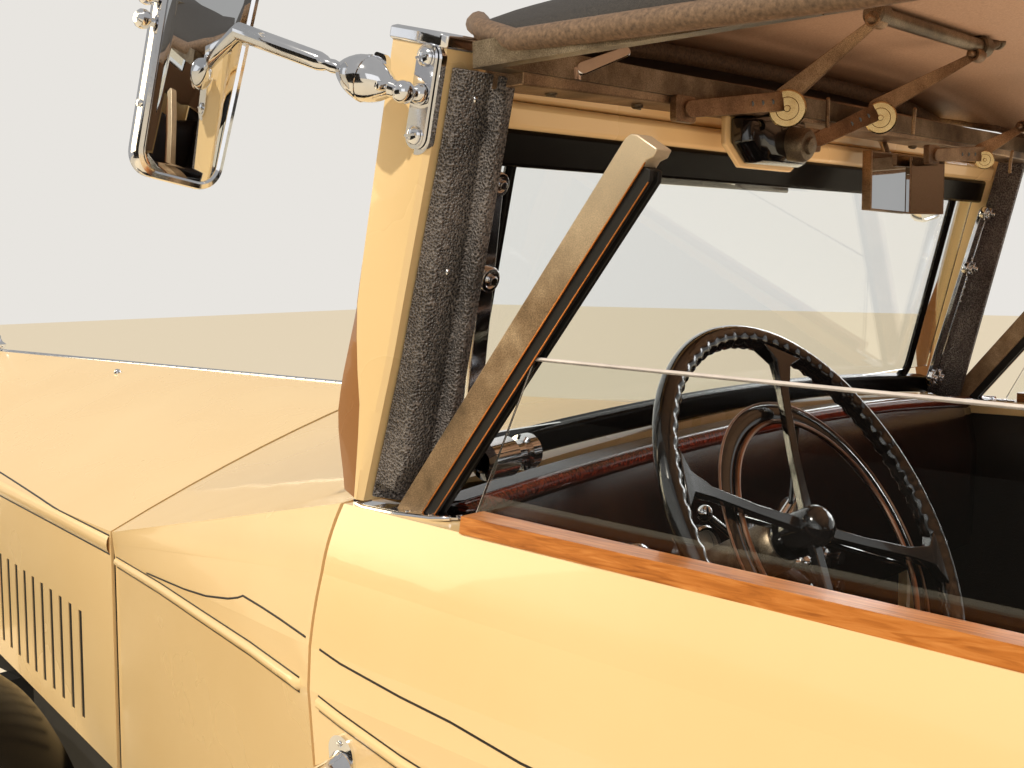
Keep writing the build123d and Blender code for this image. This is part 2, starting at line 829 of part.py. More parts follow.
stub_radius = 20.0
hub_end_y = wheel_y + 56
web_y = kingpin_y + 38
lug_gap = 0.6
lug_high = 20.0
knuckle_low, knuckle_high = eye_low - lug_high, eye_high + lug_high
knuckle = kingpin(kingpin_y, knuckle_low, knuckle_high, kingpin_radius)
for low, high in ((knuckle_low, eye_low - lug_gap), (eye_high + lug_gap, knuckle_high)):
    lug = side_block(front_axle_x - 24, front_axle_x + 24, kingpin_y - 24, web_y, low, high)
    knuckle = knuckle.fuse(lug)
web = side_block(front_axle_x - 30, front_axle_x + 30, web_y - 1, web_y + 12, knuckle_low, knuckle_high)
stub = rod((front_axle_x, web_y + 5, tyre_radius), (front_axle_x, hub_end_y, tyre_radius), stub_radius)
knuckle = knuckle.fuse(web).fuse(stub)
save("knuckle_left", knuckle)
save("knuckle_right", knuckle.mirror(Plane.XZ))

rear_axle = Solid.make_sphere(118.0, Plane(origin=(rear_axle_x, 0, tyre_radius)), -90, 90, 360)
for half_length, radius in ((640.0, axle_tube), (hub_end_y, stub_radius)):
    ends = (rear_axle_x, -half_length, tyre_radius), (rear_axle_x, half_length, tyre_radius)
    rear_axle = rear_axle.fuse(rod(*ends, radius))
save("rear_axle", rear_axle)

# Leaf springs under the rails
def spring(axle_x, reach, axle_top, end_z):
    """A pack of leaves, bowed down onto the axle and stacked shorter below."""
    leaves = None
    for index in range(4):
        half = reach * (1 - 0.2 * index)
        drop = (end_z - axle_top) * (half / reach) ** 2
        z_mid = axle_top + spring_leaf * (3 - index)
        a = Vector(axle_x - half, 0, z_mid + drop)
        b = Vector(axle_x, 0, z_mid)
        c = Vector(axle_x + half, 0, z_mid + drop)
        up = Vector(0, 0, spring_leaf + 0.5)
        face = Face(
            Wire(
                [
                    Edge.make_three_point_arc(a, b, c),
                    Edge.make_line(c, c + up),
                    Edge.make_three_point_arc(c + up, b + up, a + up),
                    Edge.make_line(a + up, a),
                ]
            )
        )
        leaf = side_prism(face, spring_y, spring_y + spring_wide)
        leaves = leaf if leaves is None else leaves.fuse(leaf)
    return leaves


front_spring = spring(front_axle_x, front_reach, axle_top_z + seat_gap, axle_top_z + 22)
rear_spring = spring(rear_axle_x, rear_reach, tyre_radius + axle_tube + seat_gap, tyre_radius + axle_tube + 5)
save("leaf_springs", *both_sides(front_spring), *both_sides(rear_spring))

# Wheels and tyres, turned about the axle line
def turned(profile, axle_x, y, side):
    """A solid turned about an axle from (radius, across) points."""
    points = [Vector(axle_x, y + side * across, tyre_radius + radius) for radius, across in profile]
    face = Face(Wire.make_polygon(points, close=True))
    axis = Axis((axle_x, 0, tyre_radius), (0, 1, 0))
    return Solid.revolve(face, 360, axis)


# Rows of (radius, across): the rim and the disc are shared with the spare wheel
half_rim = rim_width / 2
rim_lip = rim_radius + 8.0
rim_rows = [
    (205, -2), (205, -half_rim + 8), (rim_lip, -half_rim), (rim_lip, -half_rim + 6),
    (rim_radius, -half_rim + 14), (rim_radius, half_rim - 14), (rim_lip, half_rim - 6),
    (rim_lip, half_rim), (205, half_rim - 8), (211, 8), (150, 22), (92, 30), (88, 58), (60, 66),
]
drum_rows = [(46, -58), (46, -26), (150, -26), (150, -60), (158, -60), (158, -16)]
bore_rows = [(stub_radius + fit, -58), (stub_radius + fit, 66)]
wheel_profile = bore_rows[:1] + drum_rows + rim_rows + bore_rows[1:]
spare_profile = [(0, -20)] + rim_rows + [(0, 70)]
hole_count = 12
hole_ring = 180.0


def make_wheel(axle_x, y, side):
    """A pressed disc wheel with its drum and a ring of holes."""
    wheel = turned(wheel_profile, axle_x, y, side)
    for index in range(hole_count):
        angle = radians(360 * (index + 0.5) / hole_count)
        x = axle_x + hole_ring * cos(angle)
        z = tyre_radius + hole_ring * sin(angle)
        wheel = wheel - rod((x, y - 40, z), (x, y + 40, z), 15.0)
    return wheel


def make_tyre(axle_x, y, centre_z=tyre_radius):
    """A tyre of arcs and straight walls, seated on the rim."""
    half = tyre_width / 2
    bead = rim_width / 2 - 15
    outline = [
        Vector(axle_x, y - bead, centre_z + rim_radius + seat_gap),
        Vector(axle_x, y - half, centre_z + rim_radius + 62),
        Vector(axle_x, y - half + 26, centre_z + tyre_radius - 12),
        Vector(axle_x, y, centre_z + tyre_radius),
        Vector(axle_x, y + half - 26, centre_z + tyre_radius - 12),
        Vector(axle_x, y + half, centre_z + rim_radius + 62),
        Vector(axle_x, y + bead, centre_z + rim_radius + seat_gap),
    ]
    edges = [
        Edge.make_line(outline[0], outline[1]),
        Edge.make_line(outline[1], outline[2]),
        Edge.make_three_point_arc(outline[2], outline[3], outline[4]),
        Edge.make_line(outline[4], outline[5]),
        Edge.make_line(outline[5], outline[6]),
        Edge.make_line(outline[6], outline[0]),
    ]
    axis = Axis((axle_x, 0, centre_z), (0, 1, 0))
    return Solid.revolve(Face(Wire(edges)), 360, axis)


corners = {
    "front_left": (front_axle_x, wheel_y, 1),
    "front_right": (front_axle_x, -wheel_y, -1),
    "rear_left": (rear_axle_x, wheel_y, 1),
    "rear_right": (rear_axle_x, -wheel_y, -1),
}
for corner, (axle_x, y, side) in corners.items():
    save(f"wheel_{corner}", make_wheel(axle_x, y, side))
    save(f"tyre_{corner}", make_tyre(axle_x, y))

# Wings: an arched section carried along a path of arcs and lines
def wing_shell(path, y_in, y_crest, y_out, drop_in, drop_out, start, tangent):
    """A thin arched sheet swept along a path in the side view."""
    ahead = Vector(*tangent).normalized()
    up = Vector(ahead.Z, 0, -ahead.X)
    if up.Z < 0 or (abs(up.Z) < 0.2 and up.X < 0):
        up = up * -1
    base = Vector(*start)

    def at(y, fall):
        return Vector(base.X, y, base.Z) - up * fall

    under = wing_sheet * 1.3
    outer = Edge.make_three_point_arc(at(y_in, drop_in), at(y_crest, 0), at(y_out, drop_out))
    inner = Edge.make_three_point_arc(
        at(y_out, drop_out + under), at(y_crest, wing_sheet), at(y_in, drop_in + under)
    )
    face = Face(
        Wire(
            [
                outer,
                Edge.make_line(at(y_out, drop_out), at(y_out, drop_out + under)),
                inner,
                Edge.make_line(at(y_in, drop_in + under), at(y_in, drop_in)),
            ]
        )
    )
    return Solid.sweep(face, path)


def arc_point(centre, radius, angle):
    """A point on a circle in the side view."""
    return Vector(centre[0] + radius * cos(radians(angle)), 0, centre[1] + radius * sin(radians(angle)))


def arc_edge(centre, radius, start, end):
    """An arc in the side view from one angle to another."""
    return Edge.make_three_point_arc(
        arc_point(centre, radius, start),
        arc_point(centre, radius, (start + end) / 2),
        arc_point(centre, radius, end),
    )


front_hub = (front_axle_x, tyre_radius + 10)
sweep_slope = 4.0
sweep_dive = 48.0
sweep_start_x = 1060.0
sweep_radius = 420.0
board_z = rail_top_z - 146.0
wing_tip_angle = 4.0
arch_end = arc_point(front_hub, front_arch, 90 + sweep_slope)
flat_end = Vector(sweep_start_x, 0, arch_end.Z - (arch_end.X - sweep_start_x) * tan(radians(sweep_slope)))
over_centre = (
    flat_end.X - sweep_radius * cos(radians(90 + sweep_slope)),
    flat_end.Z - sweep_radius * sin(radians(90 + sweep_slope)),
)
over_end = arc_point(over_centre, sweep_radius, 90 + sweep_dive)
fall_low = board_z + sweep_radius * (1 - cos(radians(sweep_dive)))
dive_length = (over_end.Z - fall_low) / sin(radians(sweep_dive))
dive_end = over_end + Vector(-cos(radians(sweep_dive)), 0, -sin(radians(sweep_dive))) * dive_length
under_centre = (
    dive_end.X + sweep_radius * cos(radians(90 + sweep_dive)),
    dive_end.Z + sweep_radius * sin(radians(90 + sweep_dive)),
)
under_start = degrees(atan2(dive_end.Z - under_centre[1], dive_end.X - under_centre[0]))
board_front = arc_point(under_centre, sweep_radius, -90)
front_path = Wire(
    [
        arc_edge(front_hub, front_arch, wing_tip_angle, 90 + sweep_slope),
        Edge.make_line(arch_end, flat_end),
        arc_edge(over_centre, sweep_radius, 90 + sweep_slope, 90 + sweep_dive),
        Edge.make_line(over_end, dive_end),
        arc_edge(under_centre, sweep_radius, under_start, -90),
    ]
)
front_wing = wing_shell(
    front_path,
    wing_inner_y,
    wing_crest_y,
    wing_outer_y,
    70,
    72,
    tuple(arc_point(front_hub, front_arch, wing_tip_angle)),
    (-sin(radians(wing_tip_angle)), 0, cos(radians(wing_tip_angle))),
)
front_wing = front_wing - scuttle_outer
front_wing = max(front_wing.solids(), key=lambda s: s.volume)
save("front_wings", *both_sides(front_wing))
rear_path = Wire([arc_edge((rear_axle_x, tyre_radius), rear_arch, 3.0, 186.0)])
rear_wing = wing_shell(
    rear_path,
    rear_wing_inner_y,
    wing_crest_y + 25,
    wing_outer_y,
    30,
    72,
    tuple(arc_point((rear_axle_x, tyre_radius), rear_arch, 3.0)),
    (-sin(radians(3.0)), 0, cos(radians(3.0))),
)
rear_wing = rear_wing - cabin_outer
rear_wing = max(rear_wing.solids(), key=lambda s: s.volume)
save("rear_wings", *both_sides(rear_wing))

# Running boards and the brackets that carry them
board_back_x = rear_axle_x + rear_arch + 8
board_inner_y = 690.0
board_low_z = board_z - 26
board_outer_y = wing_outer_y - 6
rail_outer_y = rail_y + rail_wide
board_front_x = board_front.X - seat_gap
board = side_block(board_back_x, board_front_x, board_inner_y, board_outer_y, board_low_z, board_z)
board = board.fillet(8.0, board.edges().filter_by(Axis.X).sort_by(Axis.Y)[-2:])
for x in (150.0, -900.0):
    arm = side_block(x - 20, x + 20, rail_outer_y, board_inner_y + 30, board_low_z, board_z - 10)
    foot = side_block(x - 20, x + 20, rail_outer_y, rail_outer_y + 12, board_low_z, rail_top_z - 95)
    board = board.fuse(arm).fuse(foot)
save("running_boards", *both_sides(board))

# Hood of fabric: the overlap of a side, a front and a plan outline
hood_front_x = 14.0
hood_back_x = -2205.0
hood_sheet = 9.0
hood_foot_z = cabin_table[-1][4] + seat_gap
hood_top_z = 1742.0
hood_eave_z = hood_top_z - 142.0
hood_open_back_x = -1512.0


def hood_form(inset):
    """The hood's solid form, drawn in on every side by an inset."""
    front, back = hood_front_x - inset * 2.4, hood_back_x + inset
    low = hood_foot_z - (60.0 if inset else 0.0)
    a, b = Vector(front, 0, hood_top_z - 52 - inset), Vector(-1790, 0, hood_top_z - 36 - inset)
    top = Edge.make_three_point_arc(a, Vector(-860, 0, hood_top_z + 10 - inset), b)
    slope = Edge.make_three_point_arc(b, Vector(-2050 + inset, 0, hood_top_z - 252), Vector(back, 0, hood_foot_z))
    rest = [Vector(back, 0, hood_foot_z), Vector(back, 0, low), Vector(front, 0, low), a]
    edges = [top, slope] + [
        Edge.make_line(p, q) for p, q in zip(rest, rest[1:]) if (p - q).length > 0.01
    ]
    side = side_prism(Face(Wire(edges)), -900, 900)
    front_points = [
        (704.0 - inset, low - 5),
        (676.0 - inset, hood_eave_z),
        (612.0 - inset, hood_top_z - 50 - inset),
        (0.0, hood_top_z - inset),
    ]
    front_view = Solid.extrude(ring_face(-3000, front_points, [0, 14, 12]), Vector(3500, 0, 0))
    plan_points = [
        (front + 5, 672 - inset), (post_x, 704 - inset), (door_rear_x, 704 - inset),
        (-1950, 672 - inset), (-2120, 634 - inset), (back - 5, 540 - inset),
    ]
    outline = [Vector(x, y, 1000) for x, y in plan_points]
    outline += [Vector(x, -y, 1000) for x, y in reversed(plan_points)]
    plan = Solid.extrude(Face(Wire.make_polygon(outline, close=True)), Vector(0, 0, 900))
    return side & front_view & plan


hood_outer = hood_form(0.0)
hood_inner = hood_form(hood_sheet)
hood = hood_outer - hood_inner
eave = xz_face(
    [
        (hood_open_back_x, 1100), (300, 1100), (300, hood_top_z - 70), (8, hood_top_z - 78),
        (-60, hood_top_z - 92), (-145, hood_top_z - 128), (-470, hood_eave_z), (hood_open_back_x - 70, hood_eave_z - 4),
        (hood_open_back_x - 110, hood_eave_z - 60),
    ]
)
hood = hood - side_prism(eave, -900, 900)
rear_window = side_block(-2300, -1900, -270, 270, hood_top_z - 352, hood_top_z - 202)
hood = hood - rear_window
hood = max(hood.solids(), key=lambda s: s.volume)
save("hood", hood)

# Hood frame: bows across the roof, side rails and arms down to the pivots
bow_places = (-420.0, -860.0, -1300.0, -1720.0)
bow_deep = 14.0
bow_long = 32.0
frame_in = hood_form(hood_sheet + 0.5)
frame_core = hood_form(hood_sheet + 0.5 + bow_deep)
band = frame_in - frame_core
frame = None
rail_frame_y = 658.0
pivot_x, pivot_z = -1560.0, 1120.0
for x in bow_places:
    slab = side_block(x - bow_long / 2, x + bow_long / 2, -900, 900, hood_eave_z - 4, hood_top_z + 58)
    bow = (band & slab).solids()[0]
    frame = bow if frame is None else frame.fuse(bow)
frame_low_z = hood_eave_z - 2
bow_front_x = -112.0
front_bow = side_block(
    bow_front_x - 20, bow_front_x, -rail_frame_y + 8, rail_frame_y - 8, frame_low_z, hood_eave_z + 20
)
frame = frame.fuse(front_bow)
side_iron = side_block(
    bow_places[-1], bow_front_x, rail_frame_y - 16, rail_frame_y, frame_low_z, hood_eave_z + 20
)
boss_radius = 22.0
boss_end = floor_edge(pivot_x - boss_radius, seat_gap)
boss = rod((pivot_x, rail_frame_y - 40, pivot_z), (pivot_x, boss_end, pivot_z), boss_radius)
side_iron = side_iron.fuse(boss)
for x in bow_places[-2:]:
    arm = rod((pivot_x, rail_frame_y - 24, pivot_z), (x, rail_frame_y - 9, hood_eave_z + 8), 9.0)
    side_iron = side_iron.fuse(arm)
for iron in both_sides(side_iron):
    frame = frame.fuse(iron)
save("hood_frame", frame)

# Seats
def seat(x_front, x_back, y_low, y_high, top_z, lean):
    """A cushion and squab as one upholstered body."""
    back_high = 1130.0
    face = xz_face(
        [
            (x_front, floor_z + 40), (x_front + 10, top_z), (x_back + 60, top_z - 24),
            (x_back + 60 - lean, back_high), (x_back - 60 - lean, back_high - 10),
            (x_back - 50, floor_z + seat_gap), (x_front - 30, floor_z + seat_gap),
        ]
    )
    return side_prism(face, y_low, y_high)


front_seat = seat(-370.0, -850.0, 40.0, 570.0, 770.0, 60.0)
save("front_seats", *both_sides(front_seat))
save("rear_seat", seat(-1300.0, -1830.0, -590.0, 590.0, 790.0, 60.0))

# Dashboard, steering column and wheel
wheel_centre = Vector(-281.0, 361.0, 1182.0)
column_tilt = 31.0
column_down = Vector(cos(radians(column_tilt)), 0, -sin(radians(column_tilt)))
column_end = (bonnet_rear_x - wall / 2 + 20 - wheel_centre.X) / column_down.X
column_radius = 20.0
shaft_radius = 9.0


def column_bar(start, end, radius):
    """A round bar on the steering column's line, measured down from the wheel."""
    return rod(wheel_centre + column_down * start, wheel_centre + column_down * end, radius)


dash_face = xz_face(
    [(shelf_back_x - seat_gap, 1194), (-18, 1186), (-42, 1120), (-34, 960), (6, 955), (6, 1100)]
)
dash = side_prism(dash_face, -600, 600) - column_bar(0, column_end, column_radius + seat_gap)
save("dashboard", dash)
firewall = side_block(bonnet_rear_x - wall / 2 - seat_gap, bonnet_rear_x, 200, 500, 400, 900)
column = column_bar(42, column_end, column_radius).fuse(column_bar(8, 50, shaft_radius)) - firewall
save("steering_column", max(column.solids(), key=lambda s: s.volume))
wheel_ring = 205.0
ring_plane = Plane(origin=wheel_centre, x_dir=(0, 1, 0), z_dir=-column_down)
steering_wheel = Solid.make_torus(wheel_ring, 11.5, ring_plane)
steering_wheel = steering_wheel.fuse(column_bar(-10, 30, 34.0))
for index in range(4):
    angle = radians(45 + 90 * index)
    out = ring_plane.x_dir * cos(angle) + ring_plane.y_dir * sin(angle)
    start = wheel_centre + column_down * 14 + out * 25
    end = wheel_centre + out * (wheel_ring - 2)
    steering_wheel = steering_wheel.fuse(rod(start, end, 7.0))
save("steering_wheel", steering_wheel - column_bar(4, 60, shaft_radius + fit))

# Lamps
lamp_y, lamp_z = 470.0, 880.0
lamp_back_x = radiator_front_x - 10.0
lamp_front_x = lamp_back_x + 150.0
lamp_points = [(lamp_back_x, 0), (lamp_back_x + 6, 50), (lamp_back_x + 60, 108), (lamp_front_x - 20, 128),
               (lamp_front_x, 128), (lamp_front_x + 10, 100), (lamp_front_x + 16, 0)]
lamp_outline = [Vector(x, lamp_y, lamp_z + radius) for x, radius in lamp_points]
lamp_face = Face(Wire.make_polygon(lamp_outline, close=True))
lamp = Solid.revolve(lamp_face, 360, Axis((0, lamp_y, lamp_z), (1, 0, 0)))
lamp_bar_x = lamp_back_x + 28
lamp_bar_z = lamp_z - 150.0
lamp_post_y = rail_y + rail_wide / 2
lamps = rod((lamp_bar_x, -lamp_y - 40, lamp_bar_z), (lamp_bar_x, lamp_y + 40, lamp_bar_z), 12.0)
stalk = rod((lamp_bar_x, lamp_y, lamp_bar_z), (lamp_bar_x, lamp_y, lamp_z - 60), 14.0)
post = rod((lamp_bar_x, lamp_post_y, rail_top_z - 75), (lamp_bar_x, lamp_post_y, lamp_bar_z), 14.0) - chassis
post = max(post.solids(), key=lambda s: s.volume)
for piece in both_sides(lamp) + both_sides(stalk) + both_sides(post):
    lamps = lamps.fuse(piece)
save("headlamps", lamps)
tail_lamp = rod((tail_x - 46, 520, 760), (tail_x + 0.0, 520, 760), 42.0)
save("tail_lamps", *both_sides(tail_lamp))

# Bumpers and their irons
blade_high = 34.0
blade_thick = 9.0
bumper_half = 800.0
for name, x, ahead in (("front_bumper", front_bumper_x, 1), ("rear_bumper", rear_bumper_x, -1)):
    inside = x - ahead * blade_thick
    low, high = sorted((x, inside))
    bumper = None
    for z in (rail_top_z - 105, rail_top_z - 55):
        blade = side_block(low, high, -bumper_half, bumper_half, z, z + blade_high)
        bumper = blade if bumper is None else bumper.fuse(blade)
    for y in (-rail_y - rail_wide / 2, rail_y + rail_wide / 2):
        a, b = sorted((inside, rail_front_x if ahead > 0 else rail_back_x))
        iron_low, iron_high = (110, 87) if ahead > 0 else (80, 23)
        iron = side_block(a, b, y - 10, y + 10, rail_top_z - iron_low, rail_top_z - iron_high)
        tie_low, tie_high = rail_top_z - 105, rail_top_z - 21
        tie = side_block(*sorted((inside, inside - ahead * 8)), y - 10, y + 10, tie_low, tie_high)
        bumper = bumper.fuse(iron).fuse(tie)
    save(name, bumper)

# Spare wheel on the tail, with its bracket
spare_x, spare_z = tail_x - 98.0, 830.0
spare_outline = [Vector(spare_x - across, 0, spare_z + radius) for radius, across in spare_profile]
spare_face = Face(Wire.make_polygon(spare_outline, close=True))
spare = Solid.revolve(spare_face, 360, Axis((spare_x, 0, spare_z), (1, 0, 0)))
bracket = side_block(spare_x + 10, tail_x, -60, 60, spare_z - 60, spare_z + 60) - tub
bracket = max(bracket.solids(), key=lambda s: s.volume)
save("spare_wheel", spare.fuse(bracket))
spare_tyre = make_tyre(0.0, 0.0, 0.0).rotate(Axis.Z, 90)
save("spare_tyre", spare_tyre.moved(Location((spare_x, 0, spare_z))))

# Fuel tank and exhaust
tank_half = rail_y - seat_gap
tank_low_z, tank_top_z = rail_top_z - 205, rail_top_z - seat_gap
save("fuel_tank", side_block(-2160.0, -1860.0, -tank_half, tank_half, tank_low_z, tank_top_z))
exhaust_y, exhaust_z = -250.0, rail_top_z - 159.0
exhaust = rod((1190, exhaust_y, exhaust_z), (-1300, exhaust_y, exhaust_z), 24.0)
exhaust = exhaust.fuse(rod((-100, exhaust_y, exhaust_z), (-750, exhaust_y, exhaust_z), 62.0))
for x in cross_places[2:5]:
    hanger = side_block(x - 12, x + 12, exhaust_y - 15, exhaust_y + 15, exhaust_z, cross_low_z)
    exhaust = exhaust.fuse(hanger)
save("exhaust", exhaust)

# Mirrors on the windscreen posts
plate_v = 360.0
plate_y = screen_post_y + half_post
plate_centre = screen_point(plate_y + 5, plate_v, 0)
mirror = screen_block(plate_y, plate_y + 6, plate_v - 38, plate_v + 38, -13, 13)
knuckle_point = Vector(-45, 702, 1585)
arm_end = Vector(122, 740, 1640)
mirror = mirror.fuse(rod(plate_centre, knuckle_point, 8.0))
mirror = mirror.fuse(rod(knuckle_point, arm_end, 7.5))
mirror = mirror.fuse(rod(knuckle_point - Vector(18, 4, 6), knuckle_point + Vector(22, 5, 8), 19.0))
mirror_head = side_block(112, 132, 722, 822, 1510, 1716)
mirror_head = mirror_head.fillet(24.0, mirror_head.edges().filter_by(Axis.X))
mirror_head = mirror_head.rotate(Axis((122, 772, 1613), (1, 0, 0)), 13)
mirror = mirror.fuse(mirror_head)
save("mirrors", *both_sides(mirror))
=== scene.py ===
import json
import math
import random
import bpy
import bmesh
from mathutils import Matrix, Vector
from mathutils.bvhtree import BVHTree


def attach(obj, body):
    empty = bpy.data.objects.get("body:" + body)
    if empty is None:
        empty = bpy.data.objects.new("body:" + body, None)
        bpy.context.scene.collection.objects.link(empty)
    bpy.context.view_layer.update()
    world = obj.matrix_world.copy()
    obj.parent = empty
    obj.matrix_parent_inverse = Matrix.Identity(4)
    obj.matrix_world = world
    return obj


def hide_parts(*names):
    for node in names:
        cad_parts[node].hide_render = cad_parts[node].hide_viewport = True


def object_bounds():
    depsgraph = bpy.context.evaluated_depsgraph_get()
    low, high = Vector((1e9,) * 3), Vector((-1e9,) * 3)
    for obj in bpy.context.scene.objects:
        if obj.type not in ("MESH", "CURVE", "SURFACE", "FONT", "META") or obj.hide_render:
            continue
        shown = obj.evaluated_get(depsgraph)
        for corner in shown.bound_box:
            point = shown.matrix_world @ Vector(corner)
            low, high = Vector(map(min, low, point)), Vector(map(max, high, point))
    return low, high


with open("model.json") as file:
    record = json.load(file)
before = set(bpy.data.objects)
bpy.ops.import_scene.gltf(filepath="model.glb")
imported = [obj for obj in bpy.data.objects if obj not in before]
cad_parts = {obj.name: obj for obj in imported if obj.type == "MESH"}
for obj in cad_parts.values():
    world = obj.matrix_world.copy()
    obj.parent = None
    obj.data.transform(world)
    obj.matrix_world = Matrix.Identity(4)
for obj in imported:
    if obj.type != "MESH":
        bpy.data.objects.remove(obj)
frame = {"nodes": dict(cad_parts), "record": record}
cad_low, cad_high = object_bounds()
nodes = frame["nodes"]
scene = bpy.context.scene
random.seed(7)
UP = Vector((0, 0, 1))


def link(ob):
    """Put an object into the scene."""
    scene.collection.objects.link(ob)
    return ob


# Camera, solved from the photograph's posts, door and bonnet
PHOTO_WIDTH, FOCAL_PIXELS = 1024, 1205.36
CAMERA_PLACE = (-0.844, 1.396, 1.433)
YAW, PITCH, ROLL = 0.819, 0.099, -0.009


def look_camera():
    """The photograph's camera."""
    ahead = Vector((math.cos(YAW) * math.cos(PITCH), -math.sin(YAW) * math.cos(PITCH), -math.sin(PITCH)))
    right = Vector((-math.sin(YAW), -math.cos(YAW), 0))
    over = right.cross(ahead)
    data = bpy.data.cameras.new("photo_camera")
    data.sensor_width = 36.0
    data.sensor_fit = "HORIZONTAL"
    data.lens = FOCAL_PIXELS / PHOTO_WIDTH * data.sensor_width
    data.clip_start, data.clip_end = 0.02, 60
    turned = (right * math.cos(ROLL) + over * math.sin(ROLL), over * math.cos(ROLL) - right * math.sin(ROLL), -ahead)
    matrix = Matrix(turned).transposed().to_4x4()
    matrix.translation = Vector(CAMERA_PLACE)
    scene.camera = link(bpy.data.objects.new("photo_camera", data))
    scene.camera.matrix_world = matrix


look_camera()


# Materials. Colours are three sRGB numbers from 0 to 255
def linear(rgb):
    """A linear colour from sRGB numbers."""
    return (*(c / 255 / 12.92 if c / 255 <= 0.04045 else ((c / 255 + 0.055) / 1.055) ** 2.4 for c in rgb), 1.0)


def wire(tree, node, inputs):
    """Set a node's inputs from values, or from other nodes' outputs."""
    for key, value in inputs.items():
        if isinstance(value, bpy.types.NodeSocket):
            tree.links.new(value, node.inputs[key])
        else:
            node.inputs[key].default_value = value


def add_node(tree, kind, inputs, out=0, **settings):
    """The output of a new shader node."""
    node = tree.nodes.new("ShaderNode" + kind)
    for key, value in settings.items():
        setattr(node, key, value)
    wire(tree, node, inputs)
    return node.outputs[out]


class Look:
    """A Principled material in the making, on the object's own coordinates."""

    def __init__(self, name, stretch=(1, 1, 1)):
        """A new material, with its patterns stretched along each axis."""
        self.material = bpy.data.materials.new(name)
        self.material.use_nodes = True
        self.tree = self.material.node_tree
        self.place = self.node("Mapping", {"Scale": stretch, "Vector": self.node("TexCoord", {}, "Object")}, "Vector")

    def node(self, kind, inputs, out=0, **settings):
        """The output of a new node in this material."""
        return add_node(self.tree, kind, inputs, out, **settings)

    def noise(self, scale, detail, roughness=0.5, place=None, out="Fac"):
        """Noise at one scale, on the material's own place or on a bent one."""
        place = self.place if place is None else place
        return self.node("TexNoise", {"Scale": scale, "Detail": detail, "Roughness": roughness, "Vector": place}, out)

    def ramp(self, factor, *stops):
        """Colours spread along a factor, from (place, colour) stops; four numbers are a linear colour."""
        node = self.tree.nodes.new("ShaderNodeValToRGB")
        own = node.color_ramp.elements
        ends = [own[0], own[1]] + [None] * (len(stops) - 2)
        for element, (place, colour) in zip(ends, [stops[0], stops[-1], *stops[1:-1]]):
            element = element or own.new(place)
            element.position = place
            element.color = colour if len(colour) == 4 else linear(colour)
        self.tree.links.new(factor, node.inputs["Fac"])
        return node.outputs["Color"]

    def span(self, value, low, high):
        """A value from 0 to 1 mapped to low to high."""
        return self.node("MapRange", {"Value": value, "To Min": low, "To Max": high}, "Result")

    def within(self, value, low, high):
        """A value from low to high mapped to 0 to 1."""
        return self.node("MapRange", {"Value": value, "From Min": low, "From Max": high}, "Result")

    def bump(self, height, strength, distance):
        """A normal from a height, with the distance in metres."""
        return self.node("Bump", {"Height": height, "Strength": strength, "Distance": distance}, "Normal")

    def finish(self, inputs):
        """The material, with its surface's inputs set."""
        wire(self.tree, self.tree.nodes["Principled BSDF"], inputs)
        return self.material


def paint(name, c0, c1, rough=(0.16, 0.26), coat=1.0, specular=0.5):
    """Old gloss enamel: slight mottling, orange peel and a clear coat."""
    look = Look(name)
    mottle = look.noise(3.0, 4.0)
    return look.finish({"Base Color": look.ramp(mottle, (0.3, c0), (0.7, c1)), "Roughness": look.span(mottle, *rough),
                        "Normal": look.bump(look.noise(240.0, 2.0), 0.02, 0.002), "Coat Weight": coat,
                        "Coat Roughness": 0.04, "Specular IOR Level": specular})


def metal(name, c0, c1, rough=(0.05, 0.12), scale=30.0, strength=0.02):
    """Bright metal with faint marks."""
    look = Look(name)
    marks = look.noise(scale, 6.0, 0.6)
    return look.finish({"Base Color": look.ramp(marks, (0.3, c0), (0.7, c1)), "Roughness": look.span(marks, *rough),
                        "Normal": look.bump(look.noise(scale * 8, 3.0), strength, 0.001), "Metallic": 1.0})


def plain_rough(name, c0, c1, rough=(0.5, 0.7), scale=40.0, strength=0.2, distance=0.001):
    """Cloth, rubber, leather or boards: one grain for colour, roughness and bump."""
    look = Look(name)
    grain = look.noise(scale, 6.0, 0.6)
    return look.finish({"Base Color": look.ramp(grain, (0.3, c0), (0.7, c1)), "Roughness": look.span(grain, *rough),
                        "Normal": look.bump(grain, strength, distance)})


def wood(name, c0, c1, c2, rough=(0.16, 0.3), coat=0.8):
    """Varnished wood: long grain along the car, dark pores and a coat."""
    look = Look(name, (1.0, 14.0, 14.0))
    warp = look.noise(4.0, 3.0, out="Color")
    bent = look.node("VectorMath", {0: warp, 1: (1.4, 1.4, 1.4), 2: look.place}, "Vector", operation="MULTIPLY_ADD")
    grain = look.noise(7.0, 6.0, place=bent)
    return look.finish({"Base Color": look.ramp(grain, (0.28, c0), (0.48, c1), (0.70, c2)),
                        "Roughness": look.span(grain, rough[1], rough[0]),
                        "Normal": look.bump(look.noise(60.0, 4.0), 0.06, 0.001),
                        "Coat Weight": coat, "Coat Roughness": 0.12})


def crinkle(name, c0, c1, scale):
    """Hardened rubber-covered fabric with a fine sparkling grain."""
    look = Look(name)
    cells = look.node("TexVoronoi", {"Scale": scale, "Vector": look.place}, "Distance")
    soft = look.noise(14.0, 4.0)
    mixed = look.node("Math", {0: cells, 1: soft}, operation="MULTIPLY")
    return look.finish({"Base Color": look.ramp(mixed, (0.10, c0), (0.40, c1)),
                        "Roughness": look.span(soft, 0.34, 0.5), "Normal": look.bump(cells, 1.0, 0.0034)})


